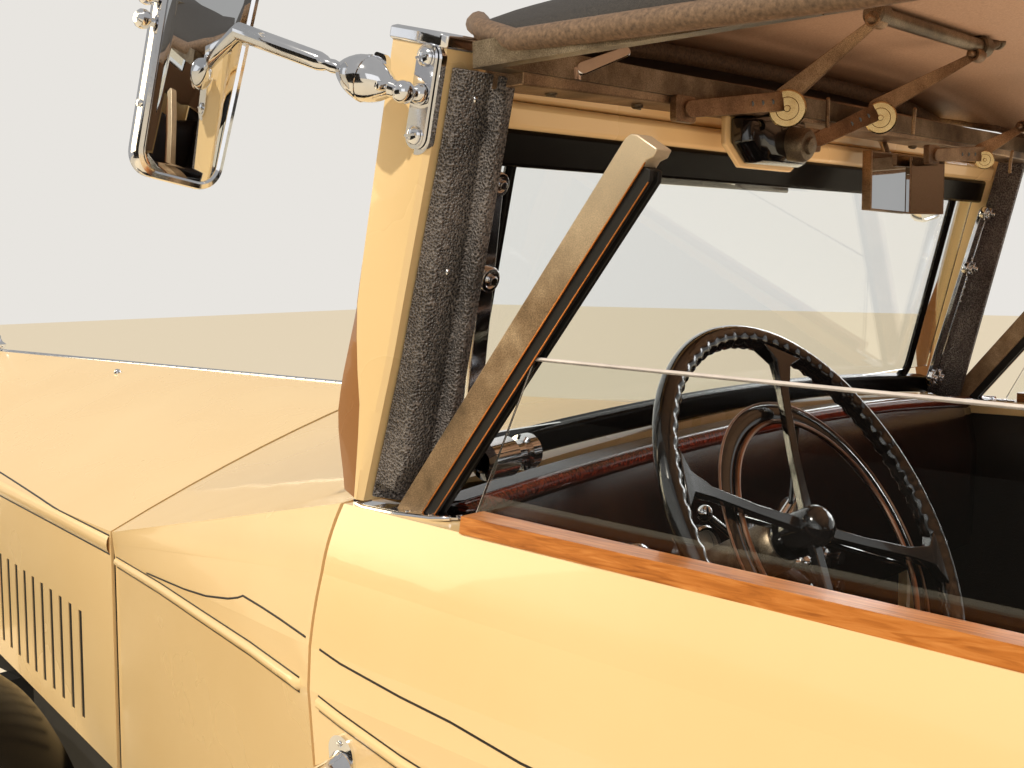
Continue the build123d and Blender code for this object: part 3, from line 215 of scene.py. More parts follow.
def old_plate(name, dark, mid, light, metallic=0.75, top=None):
    """Old plated metal: broad tarnish and a fine speckle; top is (z0, z1, colour), a lighter colour blended in from z0
    to z1.
    """
    look = Look(name)
    broad, speck = look.noise(11.0, 5.0, 0.6), look.noise(900.0, 3.0, 0.8)
    tarnish = look.ramp(broad, (0.34, dark), (0.5, mid), (0.68, light))
    out = look.node("MixRGB", {"Fac": 0.55, "Color1": tarnish, "Color2": look.within(speck, 0.3, 0.7)}, "Color",
                    blend_type="OVERLAY")
    if top:
        rise = look.within(look.node("SeparateXYZ", {0: look.place}, "Z"), top[0], top[1])
        out = look.node("MixRGB", {"Fac": rise, "Color1": out, "Color2": linear(top[2])}, "Color")
    return look.finish({"Base Color": out, "Roughness": look.span(broad, 0.34, 0.5),
                        "Normal": look.bump(speck, 0.25, 0.0004), "Metallic": metallic})


def lens(name, colour):
    """Fluted lamp glass over a bright bowl."""
    look = Look(name)
    flutes = look.node("TexWave", {"Scale": 18.0, "Vector": look.place}, "Fac", bands_direction="Y")
    bright = linear(colour)
    dim = (*(c * 0.75 for c in bright[:3]), 1)
    return look.finish({"Base Color": look.ramp(flutes, (0.0, dim), (1.0, bright)),
                        "Roughness": look.span(flutes, 0.05, 0.11), "Normal": look.bump(flutes, 0.6, 0.004),
                        "Coat Weight": 1.0, "Metallic": 0.55})


def clear_glass():
    """Window glass with a trace of haze."""
    look = Look("clear_glass")
    return look.finish({"Base Color": (0.97, 0.99, 0.98, 1), "Roughness": look.span(look.noise(6.0, 2.0), 0.0, 0.012),
                        "Transmission Weight": 1.0, "IOR": 1.45})


cream = paint("cream_enamel", (242, 207, 149), (246, 214, 159), rough=(0.22, 0.32), coat=0.5)
# A darker copy of the cream enamel: painted shade for the post's front facet
facet_shade_paint = paint("facet_shade_paint", (146, 100, 60), (168, 118, 72), rough=(0.22, 0.32), coat=0.5)
black_gloss = paint("black_enamel", (11, 10, 10), (17, 15, 14), rough=(0.20, 0.30), coat=0.02, specular=0.10)
plastic = paint("black_plastic", (8, 8, 9), (14, 14, 15), rough=(0.1, 0.2))
chassis_black = plain_rough("chassis_black", (22, 22, 23), (38, 36, 34), scale=18)
chrome = metal("chrome_plate", (225, 226, 230), (240, 240, 242))
looking_glass = metal("looking_glass", (226, 228, 230), (236, 238, 240), rough=(0.0, 0.01), scale=4.0, strength=0.0)
brass = metal("brushed_brass", (196, 166, 118), (232, 208, 160), rough=(0.16, 0.3), scale=60.0)
ring_line = metal("ring_line", (146, 110, 90), (182, 144, 120), rough=(0.25, 0.38))
copper = metal("copper_line", (186, 112, 52), (212, 138, 74), rough=(0.25, 0.38))
aged_bronze = old_plate("aged_bronze", (84, 66, 50), (144, 116, 90), (194, 164, 130))
# The channel's plate turns to a lighter colour from 1.40 m to 1.56 m up
channel_metal = old_plate("channel_metal", (106, 88, 66), (156, 130, 100), (208, 182, 148), metallic=0.55,
                          top=(1.40, 1.56, (238, 220, 190)))
worn_steel = old_plate("worn_steel", (72, 62, 50), (122, 108, 90), (172, 158, 138), metallic=0.85)
cloth = plain_rough("hood_cloth", (34, 31, 30), (72, 66, 62), scale=620, strength=0.6)
roll_cloth = plain_rough("roll_cloth", (84, 66, 52), (142, 114, 90), scale=300, strength=0.5)
lining = plain_rough("hood_lining", (158, 130, 106), (188, 158, 132), scale=400, strength=0.3)
leather = plain_rough("leather", (17, 12, 10), (29, 21, 17), scale=300, strength=0.4)
carpet_m = plain_rough("carpet", (18, 14, 12), (33, 27, 22), scale=700, strength=0.8, distance=0.003)
floor_m = plain_rough("floor_boards", (40, 33, 26), (62, 52, 42), scale=12)
tyre_m = plain_rough("tyre_rubber", (24, 24, 25), (38, 38, 39), scale=60)
groove_m = plain_rough("groove_rubber", (12, 11, 10), (24, 21, 18), scale=200)
rubber = crinkle("crinkled_rubber", (40, 36, 35), (128, 120, 116), 430.0)
# Dark line paint for the pinstripes, and for the painted shade line under the bonnet's bead
stripe_and_shade_paint = plain_rough("pinstripe", (26, 20, 14), (38, 30, 22), rough=(0.25, 0.35), scale=60, strength=0.05)
dial_m = plain_rough("dial_face", (226, 220, 204), (236, 231, 217), rough=(0.3, 0.4), scale=8, strength=0.02)
wood_m = wood("varnished_wood", (150, 84, 30), (190, 114, 48), (214, 140, 72), rough=(0.26, 0.36), coat=0.4)
dark_wood = wood("dark_wood", (16, 8, 6), (40, 20, 14), (62, 32, 22), rough=(0.12, 0.22))
garnet = wood("garnet_wood", (44, 14, 8), (84, 30, 18), (120, 48, 28))
glass_m = clear_glass()
glass_edge = plain_rough("glass_edge", (206, 196, 190), (236, 226, 220), rough=(0.15, 0.25), scale=30, strength=0.05)
lens_m = lens("lamp_lens", (232, 236, 238))
red_lens = lens("tail_lens", (150, 12, 10))

# The record's slots: first the material of the slot's CAD nodes, then what else scene pieces of that slot take
SLOTS = {
    "cream_paint": (cream, facet_shade_paint), "black_paint": (black_gloss,), "chassis_paint": (chassis_black,),
    "bright_metal": (chrome, looking_glass, ring_line, copper),
    "worn_metal": (worn_steel, aged_bronze, channel_metal, brass),
    "varnished_wood": (wood_m,), "dark_wood": (dark_wood, garnet),
    "clear_glass": (glass_m, glass_edge, lens_m, red_lens),
    "hood_cloth": (cloth, roll_cloth), "seal_rubber": (rubber, groove_m), "seat_leather": (leather,),
    "black_plastic": (plastic, black_gloss, stripe_and_shade_paint, dial_m),
    "tyre_rubber": (tyre_m,), "floor_wood": (floor_m, carpet_m),
}
for row in frame["record"]["subparts"]:
    materials = nodes[row["node"]].data.materials
    materials.clear()
    materials.append(SLOTS[row["material_slot"]][0])


# Mesh helpers: a piece's data is its points and its faces
def shape(name, data, mat, body="car_body", slot=None, angle=38.0, bevel=0.0, seg=2, solid=0.0, inner=None,
          stands_for=None):
    """One mesh piece with its finish, modifiers and body, and the CAD node that it stands for."""
    me = bpy.data.meshes.new(name)
    me.from_pydata([tuple(v) for v in data[0]], [], data[1])
    me.validate()
    bm = bmesh.new()
    bm.from_mesh(me)
    bmesh.ops.remove_doubles(bm, verts=bm.verts, dist=1e-5)
    if solid == 0.0:
        bmesh.ops.recalc_face_normals(bm, faces=bm.faces)
    bm.to_mesh(me)
    bm.free()
    for polygon in me.polygons:
        polygon.use_smooth = True
    me.set_sharp_from_angle(angle=math.radians(angle))
    me.materials.append(mat)
    ob = link(bpy.data.objects.new(name, me))
    if solid:
        thick = ob.modifiers.new("thick", "SOLIDIFY")
        thick.thickness, thick.offset = solid, -1.0
        if inner is not None:
            me.materials.append(inner)
            thick.material_offset = 1
    if bevel:
        edges = ob.modifiers.new("edges", "BEVEL")
        edges.width, edges.segments = bevel, seg
        edges.limit_method, edges.angle_limit = "ANGLE", math.radians(30)
    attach(ob, body)
    if stands_for:
        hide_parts(stands_for)
    return ob


def mirrored(data):
    """The same points and faces on the car's other side."""
    return [Vector((p[0], -p[1], p[2])) for p in data[0]], [tuple(reversed(face)) for face in data[1]]


def pair(name, data, mat, body="car_body", stands_for=None, **more):
    """A piece on the car's left and its mirror image on the right; {} in a body's or node's name is the side."""
    for side, sided in (("left", data), ("right", mirrored(data))):
        shape(f"{name}_{side}", sided, mat, body=body.format(side),
              stands_for=stands_for and stands_for.format(side), **more)


def skin(rings, caps="first last", loop=False, wrap=True):
    """Rings of as many points each, joined by faces: capped or joined end to end, each ring closed or open."""
    m, k = len(rings), len(rings[0])
    faces = [(i * k + j, i * k + (j + 1) % k, (i + 1) % m * k + (j + 1) % k, (i + 1) % m * k + j)
             for i in range(m if loop else m - 1) for j in range(k if wrap else k - 1)]
    if "first" in caps:
        faces.append(tuple(reversed(range(k))))
    if "last" in caps:
        faces.append(tuple(range((m - 1) * k, m * k)))
    return [p for ring in rings for p in ring], faces


def merge(*parts):
    """Several sets of points and faces as one."""
    verts, faces = [], []
    for part_verts, part_faces in parts:
        base = len(verts)
        verts += list(part_verts)
        faces += [tuple(i + base for i in face) for face in part_faces]
    return verts, faces


def basis(axis):
    """An axis and two directions square to it."""
    axis = Vector(axis).normalized()
    u = axis.cross(UP if abs(axis.z) < 0.9 else Vector((1, 0, 0))).normalized()
    return axis, u, axis.cross(u).normalized()


def lathe(origin, axis, profile, n=40):
    """A shape turned about an axis from (along, radius) rows."""
    axis, u, v = basis(axis)
    turns = [2 * math.pi * k / n for k in range(n)]
    return skin([[Vector(origin) + axis * t + (u * math.cos(a) + v * math.sin(a)) * max(r, 1e-5) for a in turns]
                 for t, r in profile], caps="")


def tube(points, r, n=12, closed=False, flat=(1.0, 1.0), up=None):
    """A tube along points, with parallel frames; r is one radius or one each."""
    points = [Vector(p) for p in points]
    radii = r if isinstance(r, (list, tuple)) else [r] * len(points)
    m = len(points)
    start = (points[1] - points[0]).normalized()
    ref = Vector(up) if up is not None else basis(start)[1]
    u = (ref - start * ref.dot(start)).normalized()
    rings = []
    for i, p in enumerate(points):
        before = points[(i - 1) % m] if (closed or i > 0) else p
        after = points[(i + 1) % m] if (closed or i < m - 1) else p
        along = (after - before).normalized()
        u = (u - along * u.dot(along)).normalized()
        v = along.cross(u)
        turns = [2 * math.pi * k / n for k in range(n)]
        rings.append([p + (u * math.cos(a) * flat[0] + v * math.sin(a) * flat[1]) * radii[i] for a in turns])
    return skin(rings, caps="" if closed else "first last", loop=closed)


def plate(origin, a_dir, b_dir, outline, thick):
    """An outline of (a, b) points thickened along the plane's normal."""
    o, a, b = Vector(origin), Vector(a_dir).normalized(), Vector(b_dir).normalized()
    n = a.cross(b).normalized()
    return skin([[o + a * x + b * y + n * high for x, y in outline] for high in (0, thick)])


def rrect(w, h, r, n=6):
    """A rounded rectangle's outline about its middle."""
    out = []
    for quarter, (sx, sy) in enumerate(((1, 1), (-1, 1), (-1, -1), (1, -1))):
        for k in range(n + 1):
            a = math.radians(90 * quarter + 90 * k / n)
            out.append((sx * (w / 2 - r) + r * math.cos(a), sy * (h / 2 - r) + r * math.sin(a)))
    return out


def curve_points(points, k=8):
    """Points on a smooth line through a few given ones."""
    points = [Vector(p) for p in points]
    ends = [points[0] * 2 - points[1], *points, points[-1] * 2 - points[-2]]
    out = []
    for p0, p1, p2, p3 in zip(ends, ends[1:], ends[2:], ends[3:]):
        for t in (j / k for j in range(k)):
            out.append(0.5 * ((2 * p1) + (p2 - p0) * t + (2 * p0 - 5 * p1 + 4 * p2 - p3) * t * t
                              + (3 * p1 - p0 - 3 * p2 + p3) * t ** 3))
    return out + [points[-1]]


def screw(place, normal, r=0.0045, high=0.0015):
    """A domed slotted screw head, as a list of two parts."""
    n, u, v = basis(normal)
    dome = [(-0.002, r), (0.0, r), (high * 0.6, r * 0.82), (high, r * 0.5), (high * 1.05, 0)]
    return [lathe(place, normal, dome, 16),
            plate(Vector(place) + n * (high * 0.55), u, v, rrect(r * 1.9, r * 0.28, r * 0.05, 1), high * 0.62)]


def ball(place, radius, n=16, axis=UP):
    """A sphere turned about an axis."""
    turns = [math.pi * i / 10 for i in range(11)]
    return lathe(place, axis, [(-radius * math.cos(a), radius * math.sin(a)) for a in turns], n)


def link_bar(start, end, wide_start, wide_end, thick, up=UP):
    """A flat bar with round ends between two points, and its tapered width."""
    p, q = Vector(start), Vector(end)
    along = (q - p).normalized()
    side = along.cross(Vector(up)).normalized()
    outline = []
    for middle, radius, first in (((q - p).length, wide_end / 2, -90), (0.0, wide_start / 2, 90)):
        for k in range(9):
            a = math.radians(first + 180 * k / 8)
            outline.append((middle + radius * math.cos(a), radius * math.sin(a)))
    return plate(p - along.cross(side) * thick / 2, along, side, outline, thick)


def disc(place, axis, radius, thick, boss=0.4):
    """A tensioner's disc with a stepped face and a bolt head on it."""
    half = thick / 2
    rows = [(-half, 0), (-half, radius * 0.9), (-half * 0.7, radius), (half * 0.7, radius), (half, radius * 0.92),
            (half, radius * 0.62), (half * 0.7, radius * 0.58), (half * 0.7, radius * boss),
            (half * 1.8, radius * boss), (half * 2.0, radius * boss * 0.8), (half * 2.0, 0)]
    return lathe(place, axis, rows, 28)


def between(rows, x):
    """A value read off a short table of (x, value) rows that run one way, held past its ends."""
    way = 1 if rows[-1][0] > rows[0][0] else -1
    for (x0, v0), (x1, v1) in zip(rows, rows[1:]):
        if way * x <= way * x1:
            return v0 + (v1 - v0) * max(0.0, (x - x0) / (x1 - x0))
    return rows[-1][1]


# The windscreen's own plane
SCREEN_FOOT = Vector((0.057, 0, 1.209))
SCREEN_UP = Vector((-0.109, 0, 0.430)).normalized()
SCREEN_AHEAD = Vector((0.430, 0, 0.109)).normalized()
SCREEN_LONG = math.hypot(0.109, 0.430)


def on_screen(u, v, w):
    """A point u across, v up the rake and w ahead of the windscreen's plane, in metres."""
    return SCREEN_FOOT + Vector((0, u, 0)) + SCREEN_UP * v + SCREEN_AHEAD * w


def screen_bar(section, v0, v1, steps):
    """A bar up the screen: section(v) gives its (across, ahead) points."""
    heights = [v0 + (v1 - v0) * i / steps for i in range(steps + 1)]
    return skin([[on_screen(u, v, w) for u, w in section(v)] for v in heights])


# Post and weather strip. Rows: share of the way up, metres ahead of the screen's plane
POST_SIDE = 0.654
POST_FOLD = [(0.0, 0.0050), (0.15, 0.0130), (0.22, 0.0180), (0.30, 0.0310), (0.42, 0.0410), (0.60, 0.0420),
             (1.0, 0.0430)]
POST_NOSE = [(0.0, 0.0260), (0.10, 0.0450), (0.15, 0.0520), (0.23, 0.0530), (0.43, 0.0445), (1.0, 0.0445)]
POST_REAR = [(0.0, -0.0050), (0.33, -0.0165), (0.51, -0.0195), (0.80, -0.0248), (1.0, -0.0248)]


def post_section(v):
    """The post's outline."""
    share = max(0.0, min(1.0, v / SCREEN_LONG))
    front, rear, side = between(POST_FOLD, share), between(POST_REAR, share), POST_SIDE
    return [(0.608, rear), (side - 0.004, rear), (side, rear + 0.0053), (side + 0.0012, (front + rear) / 2),
            (side, front), (side - 0.010, front + 0.003), (0.608, front - 0.016)]


def facet_section(v):
    """The facet ahead of the post's fold, which comes out over the lower half."""
    front = between(POST_FOLD, v / SCREEN_LONG)
    nose = max(front + 0.002, between(POST_NOSE, v / SCREEN_LONG))
    return [(0.640, front - 0.004), (0.6536, front - 0.001), (POST_SIDE, front + 0.0006), (0.6495, nose),
            (0.640, nose - 0.003)]


def strip_section(v):
    """The weather strip: an outer bead, a flat that faces back, and an inner lip, cut to clear the glass channel."""
    rear = between(POST_REAR, v / SCREEN_LONG) - 0.0006
    rows = [(0.601, rear), (0.6405, rear), (0.643, rear - 0.003), (0.643, -0.037), (0.6415, -0.0425),
            (0.637, -0.0455), (0.618, -0.0475), (0.612, -0.0485), (0.6105, -0.0515), (0.6125, -0.0560),
            (0.6140, -0.0620), (0.6125, -0.0660), (0.608, -0.0672), (0.601, -0.0672)]
    out = []
    for u, w in rows:
        place = on_screen(u, v, w)
        clear = place.x * 0.766 + place.z * 0.643 > 0.796
        out.append((u if clear else min(u, 0.6135), w))
    return out


pair("screen_post", screen_bar(post_section, -0.003, SCREEN_LONG - 0.012, 14), cream, stands_for="windscreen_frame",
     bevel=0.0022, seg=3, angle=50)
# The facet ahead of the post's fold takes the darker copy of the cream: painted shade
pair("post_facet", screen_bar(facet_section, -0.003, SCREEN_LONG * 0.5, 12), facet_shade_paint, bevel=0.0012)
pair("weather_strip", screen_bar(strip_section, 0.002, SCREEN_LONG - 0.028, 48), rubber,
     stands_for="weather_strips", bevel=0.0014)
pair("strip_screws", merge(*(part for v in (0.392, 0.236)
                             for part in screw(on_screen(0.626, v, -0.0466), -SCREEN_AHEAD, 0.0038))), chrome)
cap_rings = []
for below, grown in ((0.014, 1.0), (0.012, 1.08), (0.002, 1.08), (0.0, 0.96)):
    cap_rings.append([on_screen(0.631 + (u - 0.631) * grown, SCREEN_LONG - below, w * grown)
                      for u, w in post_section(SCREEN_LONG)])
pair("post_cap", skin(cap_rings), chrome, bevel=0.0012)

# Header: name, how far up it starts and ends, how far ahead, material and edge
HEAD_V, HEAD_HALF = 0.331, 0.607
for name, v0, v1, w0, w1, mat, edge in (("rail", HEAD_V, HEAD_V + 0.036, -0.014, 0.014, black_gloss, 0.004),
                                        ("strip", HEAD_V + 0.0365, HEAD_V + 0.062, -0.022, 0.016, cream, 0.006),
                                        ("top", HEAD_V + 0.062, SCREEN_LONG, -0.012, 0.0245, cream, 0.005)):
    section = [(v0, w0), (v1, w0), (v1, w1), (v0, w1)]
    bar = skin([[on_screen(u, v, w) for v, w in section] for u in (-HEAD_HALF, HEAD_HALF)])
    shape(f"screen_header_{name}", bar, mat, bevel=edge, seg=3)

# The lower rail follows the arch of the scuttle's top
rail_rings = []
for i in range(25):
    y = -0.603 + 1.206 * i / 24
    rise = 0.036 * (1 - (y / 0.66) ** 2)
    rail_rings.append([on_screen(y, rise + v, w)
                       for v, w in ((-0.006, -0.012), (0.022, -0.012), (0.022, 0.012), (-0.006, 0.012))])
shape("screen_lower_rail", skin(rail_rings), black_gloss, bevel=0.004, seg=3)
glass_line = [on_screen(u, (HEAD_V + 0.055) / 2 + v, 0) for u, v in rrect(1.040, HEAD_V - 0.005, 0.030, 8)]
shape("screen_glass_frame", tube(glass_line, 0.008, 10, closed=True, flat=(0.8, 1.0)), black_gloss)


# Outside mirrors
def mirror_arm():
    """The oblong foot on the post, its ball, the egg-shaped pod and the arm."""
    foot = on_screen(0.6545, 0.386, -0.0090)
    n, u, v = Vector((0, 1, 0)), SCREEN_AHEAD, SCREEN_UP
    bits = [plate(foot, v, u, rrect(0.102, 0.033, 0.0164, 8), -0.0060),
            plate(foot + n * 0.004, v, u, rrect(0.092, 0.024, 0.0119, 8), -0.003)]
    for s in (-0.034, 0.034):
        bits += screw(foot + v * s + n * 0.0066, n, 0.0082, 0.0024)
    joint = foot + v * 0.002 + n * 0.024
    along = (Vector((0.1123, 0.732, 1.6473)) - joint).normalized()
    pod = joint + along * 0.040
    neck = [(0, 0.0095), (0.004, 0.0085), (0.007, 0.006), (0.011, 0.0058)]
    egg = [(-0.034 + 0.068 * i / 14, 0.0205 * math.sin(math.pi * i / 14) ** 0.75) for i in range(15)]
    seam = [(-0.0018, 0.0204), (-0.0012, 0.0213), (0.0012, 0.0213), (0.0018, 0.0204)]
    pin = [(0, 0.0042), (0.006, 0.0042), (0.008, 0.003), (0.0082, 0)]
    arm = [(0.030, 0.0052), (0.036, 0.0062), (0.042, 0.0054), (0.046, 0.0072), (0.052, 0.0085), (0.150, 0.0085),
           (0.156, 0.007), (0.160, 0.0055), (0.172, 0.0055)]
    return merge(*bits, lathe(foot + v * 0.002 + n * 0.005, n, neck, 24), ball(joint, 0.0105, 24, n),
                 lathe(pod, along, egg, 28), lathe(pod, along, seam, 28),
                 plate(pod + UP * 0.017 - along * 0.012 - n * 0.004, along, UP, rrect(0.013, 0.018, 0.004, 4), 0.008),
                 lathe(pod - along * 0.026 + n * 0.008, n, pin, 16),
                 tube([joint, pod - along * 0.026], [0.0065, 0.0085], 16), lathe(pod, along, arm, 24))


# The mirror's head: rows of width, height, corner and place along its facing, for the case and the glass
CASE_ROWS = ((0.084, 0.204, 0.018, -0.020), (0.092, 0.212, 0.022, -0.014), (0.095, 0.214, 0.024, 0.0),
             (0.093, 0.212, 0.023, 0.004), (0.085, 0.204, 0.020, 0.005), (0.079, 0.198, 0.017, 0.002))
GLASS_ROWS = ((0.080, 0.199, 0.017, 0.0015), (0.0795, 0.1985, 0.017, 0.0028), (0.066, 0.184, 0.010, 0.0044))
HEAD_TAPER = 0.6


def mirror_head():
    """The left mirror's case with its clamp knobs, and its glass."""
    mid = Vector((0.124, 0.775, 1.613))
    facing = Vector((-0.992, -0.004, -0.129)).normalized()
    across = Vector((0.0, -0.17, 0.985)).cross(facing).normalized()
    up = facing.cross(across).normalized()

    def rings(rows):
        """Rounded oblongs at each row's place along the facing, wider at the top."""
        return [[mid + across * x * (1 + HEAD_TAPER * y) + up * y + facing * d for x, y in rrect(w, h, r, 8)]
                for w, h, r, d in rows]

    knob = [(0, 0.004), (0.004, 0.004), (0.005, 0.0075), (0.009, 0.0088), (0.013, 0.0082), (0.016, 0.005), (0.0168, 0)]
    knobs = [lathe(mid - across * 0.0475 + up * z - facing * 0.006, -across, knob, 20) for z in (0.047, 0.026)]
    knobs.append(lathe(mid - across * 0.0465 - up * 0.045 - facing * 0.004, -across,
                       [(0, 0.0036), (0.002, 0.003), (0.0026, 0)], 14))
    return merge(skin(rings(CASE_ROWS), caps="first"), *knobs), skin(rings(GLASS_ROWS), caps="last")


case, glass = mirror_head()
pair("mirror_arm", mirror_arm(), chrome, stands_for="mirrors", angle=35)
pair("mirror_case", case, chrome, angle=30)
pair("mirror_glass", glass, looking_glass, angle=20)

# Door tops: seat plate with its lip, nose and screws, and the small catch. Rows: x, height of the door's top edge
DOOR_TOP = ((0.080, 1.200), (-0.910, 1.186), (-1.503, 1.180), (-2.290, 1.180))
X_DIR, Y_DIR = (1, 0, 0), (0, 1, 0)
top = between(DOOR_TOP, 0.0) + 0.0004
seat_line = [(-0.062, 0.598), (-0.062, 0.634), (-0.045, 0.646), (0.0, 0.650), (0.050, 0.650), (0.066, 0.646),
             (0.072, 0.640), (0.066, 0.634), (0.050, 0.632), (0.030, 0.630), (0.020, 0.598)]
lip_line = [(-0.058, 0.640, top + 0.002), (-0.040, 0.6485, top + 0.001), (0.0, 0.6525, top), (0.050, 0.6525, top),
            (0.066, 0.648, top + 0.001)]
nose = lathe((0.067, 0.630, top + 0.001), Y_DIR, [(0, 0), (0.0005, 0.004), (0.018, 0.0045), (0.0185, 0)], 14)
plate_screws = [part for x, y in ((-0.004, 0.643), (-0.034, 0.641), (-0.058, 0.628), (0.034, 0.642))
                for part in screw((x, y, top + 0.0022), UP, 0.0035, 0.001)]
pair("door_seat_plate", merge(plate((0, 0, top), X_DIR, Y_DIR, seat_line, 0.0022), tube(lip_line, 0.0026, 8), nose,
                              *plate_screws), chrome, body="door_front_{}_body", bevel=0.0006, angle=30)
catch_x, catch_y = -0.079, 0.630
catch_z = between(DOOR_TOP, catch_x)
pair("glass_catch", merge(plate((catch_x, catch_y, catch_z + 0.0004), X_DIR, Y_DIR, rrect(0.030, 0.014, 0.0069), 0.002),
                          lathe((catch_x, catch_y, catch_z + 0.0022), UP, [(0, 0.0045), (0.001, 0.004), (0.0014, 0)],
                                16)), chrome, body="door_front_{}_body", bevel=0.0005)

# The hood's front bow: its section in x and z, arched a little across the car
BOW_HALF, BOW_RISE, BOW_STEPS = 0.612, 0.006, 20
BOW_SECTION = [(-0.084, 1.587), (-0.080, 1.592), (-0.082, 1.611), (-0.090, 1.617), (-0.122, 1.619), (-0.130, 1.611),
               (-0.127, 1.587)]
bow_rings = []
for i in range(BOW_STEPS + 1):
    y = -BOW_HALF + 2 * BOW_HALF * i / BOW_STEPS
    bow_rings.append([Vector((x, y, z + BOW_RISE * (1 - (y / BOW_HALF) ** 2))) for x, z in BOW_SECTION])
shape("hood_front_bow", skin(bow_rings), aged_bronze, bevel=0.0015)
bow_bolts = []
for y in (-0.54, -0.47, -0.30, -0.20, 0.02, 0.12, 0.33, 0.42, 0.55):
    bow_bolts += screw((-0.103, y, 1.6215), UP, 0.006, 0.002) + screw((-0.105, y, 1.5872), -UP, 0.006, 0.002)
shape("bow_bolts", merge(*bow_bolts), worn_steel)

# Where each toggle's first bar starts, its disc, where its second bar ends, and the disc's radius
TOGGLES = [((-0.138, 0.376, 1.586), (-0.152, 0.2154, 1.6071), (-0.240, 0.183, 1.685), 0.0205),
           ((-0.138, 0.1212, 1.5727), (-0.152, -0.0037, 1.6150), (-0.240, -0.078, 1.680), 0.0195),
           ((-0.138, -0.2044, 1.5750), (-0.150, -0.3297, 1.5830), (-0.190, -0.3729, 1.6205), 0.0130)]
TOWARDS = Vector((-0.45, 0.88, -0.10)).normalized()
linkage, discs, holes = [], [], []
for start, pivot, end, radius in TOGGLES:
    start, pivot, end = Vector(start), Vector(pivot), Vector(end)
    along = (pivot - start).normalized()
    hook = pivot + Vector((-0.012, -0.070, -0.010))
    linkage += [link_bar(start, pivot, 0.017, 0.021, 0.004, TOWARDS),
                link_bar(pivot - TOWARDS * 0.005 + Vector((0, 0.006, 0.004)), end + TOWARDS * 0.004, 0.021, 0.009,
                         0.003, TOWARDS),
                link_bar(pivot - TOWARDS * 0.011, end - TOWARDS * 0.006, 0.014, 0.009, 0.003, TOWARDS),
                disc(end, Y_DIR, 0.009, 0.022),
                plate(start + Vector((0.002, 0.004, 0.0)), Y_DIR, UP, rrect(0.034, 0.026, 0.004, 4), 0.008),
                tube([hook + Vector((-0.008, 0.014, 0.016)), hook, hook + Vector((0.001, -0.002, -0.014))],
                     0.0024, 8)]
    discs.append(disc(pivot + TOWARDS * 0.007 + Vector((0, -0.004, -0.008)), TOWARDS, radius, 0.008, boss=0.18))
    for back in (0.026, 0.044, 0.062):
        holes.append(lathe(pivot - along * back + TOWARDS * 0.0020, TOWARDS,
                           [(-0.0045, 0.0032), (0.0002, 0.0032), (0.0003, 0)], 12))
shape("hood_toggles", merge(*linkage), aged_bronze, bevel=0.0006)
shape("toggle_discs", merge(*discs), brass, angle=25)
shape("toggle_holes", merge(*holes), plastic)

# The cross tube with its knuckles and handle, and the header's latch
tube_x, tube_z = -0.240, 1.691
knuckle = [(-0.012, 0), (-0.012, 0.010), (-0.009, 0.0125), (0.009, 0.0125), (0.012, 0.010), (0.012, 0)]
handle = [(tube_x, -0.098, tube_z), (tube_x, -0.126, tube_z + 0.006), (tube_x, -0.140, tube_z + 0.011)]
shape("hood_cross_tube", merge(tube([(tube_x, 0.190, tube_z), (tube_x, -0.100, tube_z)], 0.0085, 20),
                               tube(handle, [0.007, 0.006, 0.006], 14),
                               *[lathe((tube_x, y, tube_z), Y_DIR, knuckle, 20) for y in (0.182, -0.092)],
                               ball((tube_x, -0.143, tube_z + 0.012), 0.0095)), worn_steel)
latch_boss = [(0, 0.008), (0.010, 0.008), (0.012, 0.006), (0.0125, 0)]
shape("header_latch", merge(link_bar((-0.134, 0.540, 1.608), (-0.150, 0.497, 1.626), 0.012, 0.009, 0.004, TOWARDS),
                            lathe((-0.126, 0.544, 1.598), UP, latch_boss, 20)), chrome, bevel=0.001)

# Wiper motor: an angular plate with a cream edge, a black case and a drum
MOTOR_Y, MOTOR_Z = 0.180, 1.572
motor_line = [(-0.082, -0.020), (-0.060, -0.034), (0.050, -0.034), (0.080, -0.010), (0.080, 0.020), (0.040, 0.030),
              (-0.060, 0.026)]
shape("wiper_motor_plate", plate((-0.104, MOTOR_Y, MOTOR_Z), Y_DIR, UP, motor_line, 0.006), cream, bevel=0.0015)
case_rings = [[Vector((-0.1045 - deep, MOTOR_Y + y * part, MOTOR_Z + z * part)) for y, z in motor_line]
              for part, deep in ((0.88, 0.0), (0.88, 0.014), (0.80, 0.024), (0.60, 0.029))]
shape("wiper_motor_case", skin(case_rings), plastic, bevel=0.002, seg=3)
drum = [(0, 0.019), (0.022, 0.019), (0.026, 0.016), (0.027, 0.010), (0.031, 0.009), (0.032, 0)]
shape("wiper_drum", lathe((-0.128, 0.168, 1.566), (-1, 0, -0.15), drum, 28), worn_steel)
wiper_line = [(0.002, 0.130, 1.552), (0.010, 0.130, 1.548), (0.014, 0.120, 1.540), (0.017, 0.060, 1.534)]
blade = link_bar((0.0175, 0.250, 1.531), (0.0175, -0.070, 1.531), 0.008, 0.008, 0.004, X_DIR)
shape("wiper_arm", merge(tube(wiper_line, 0.0030, 8), blade), chrome)

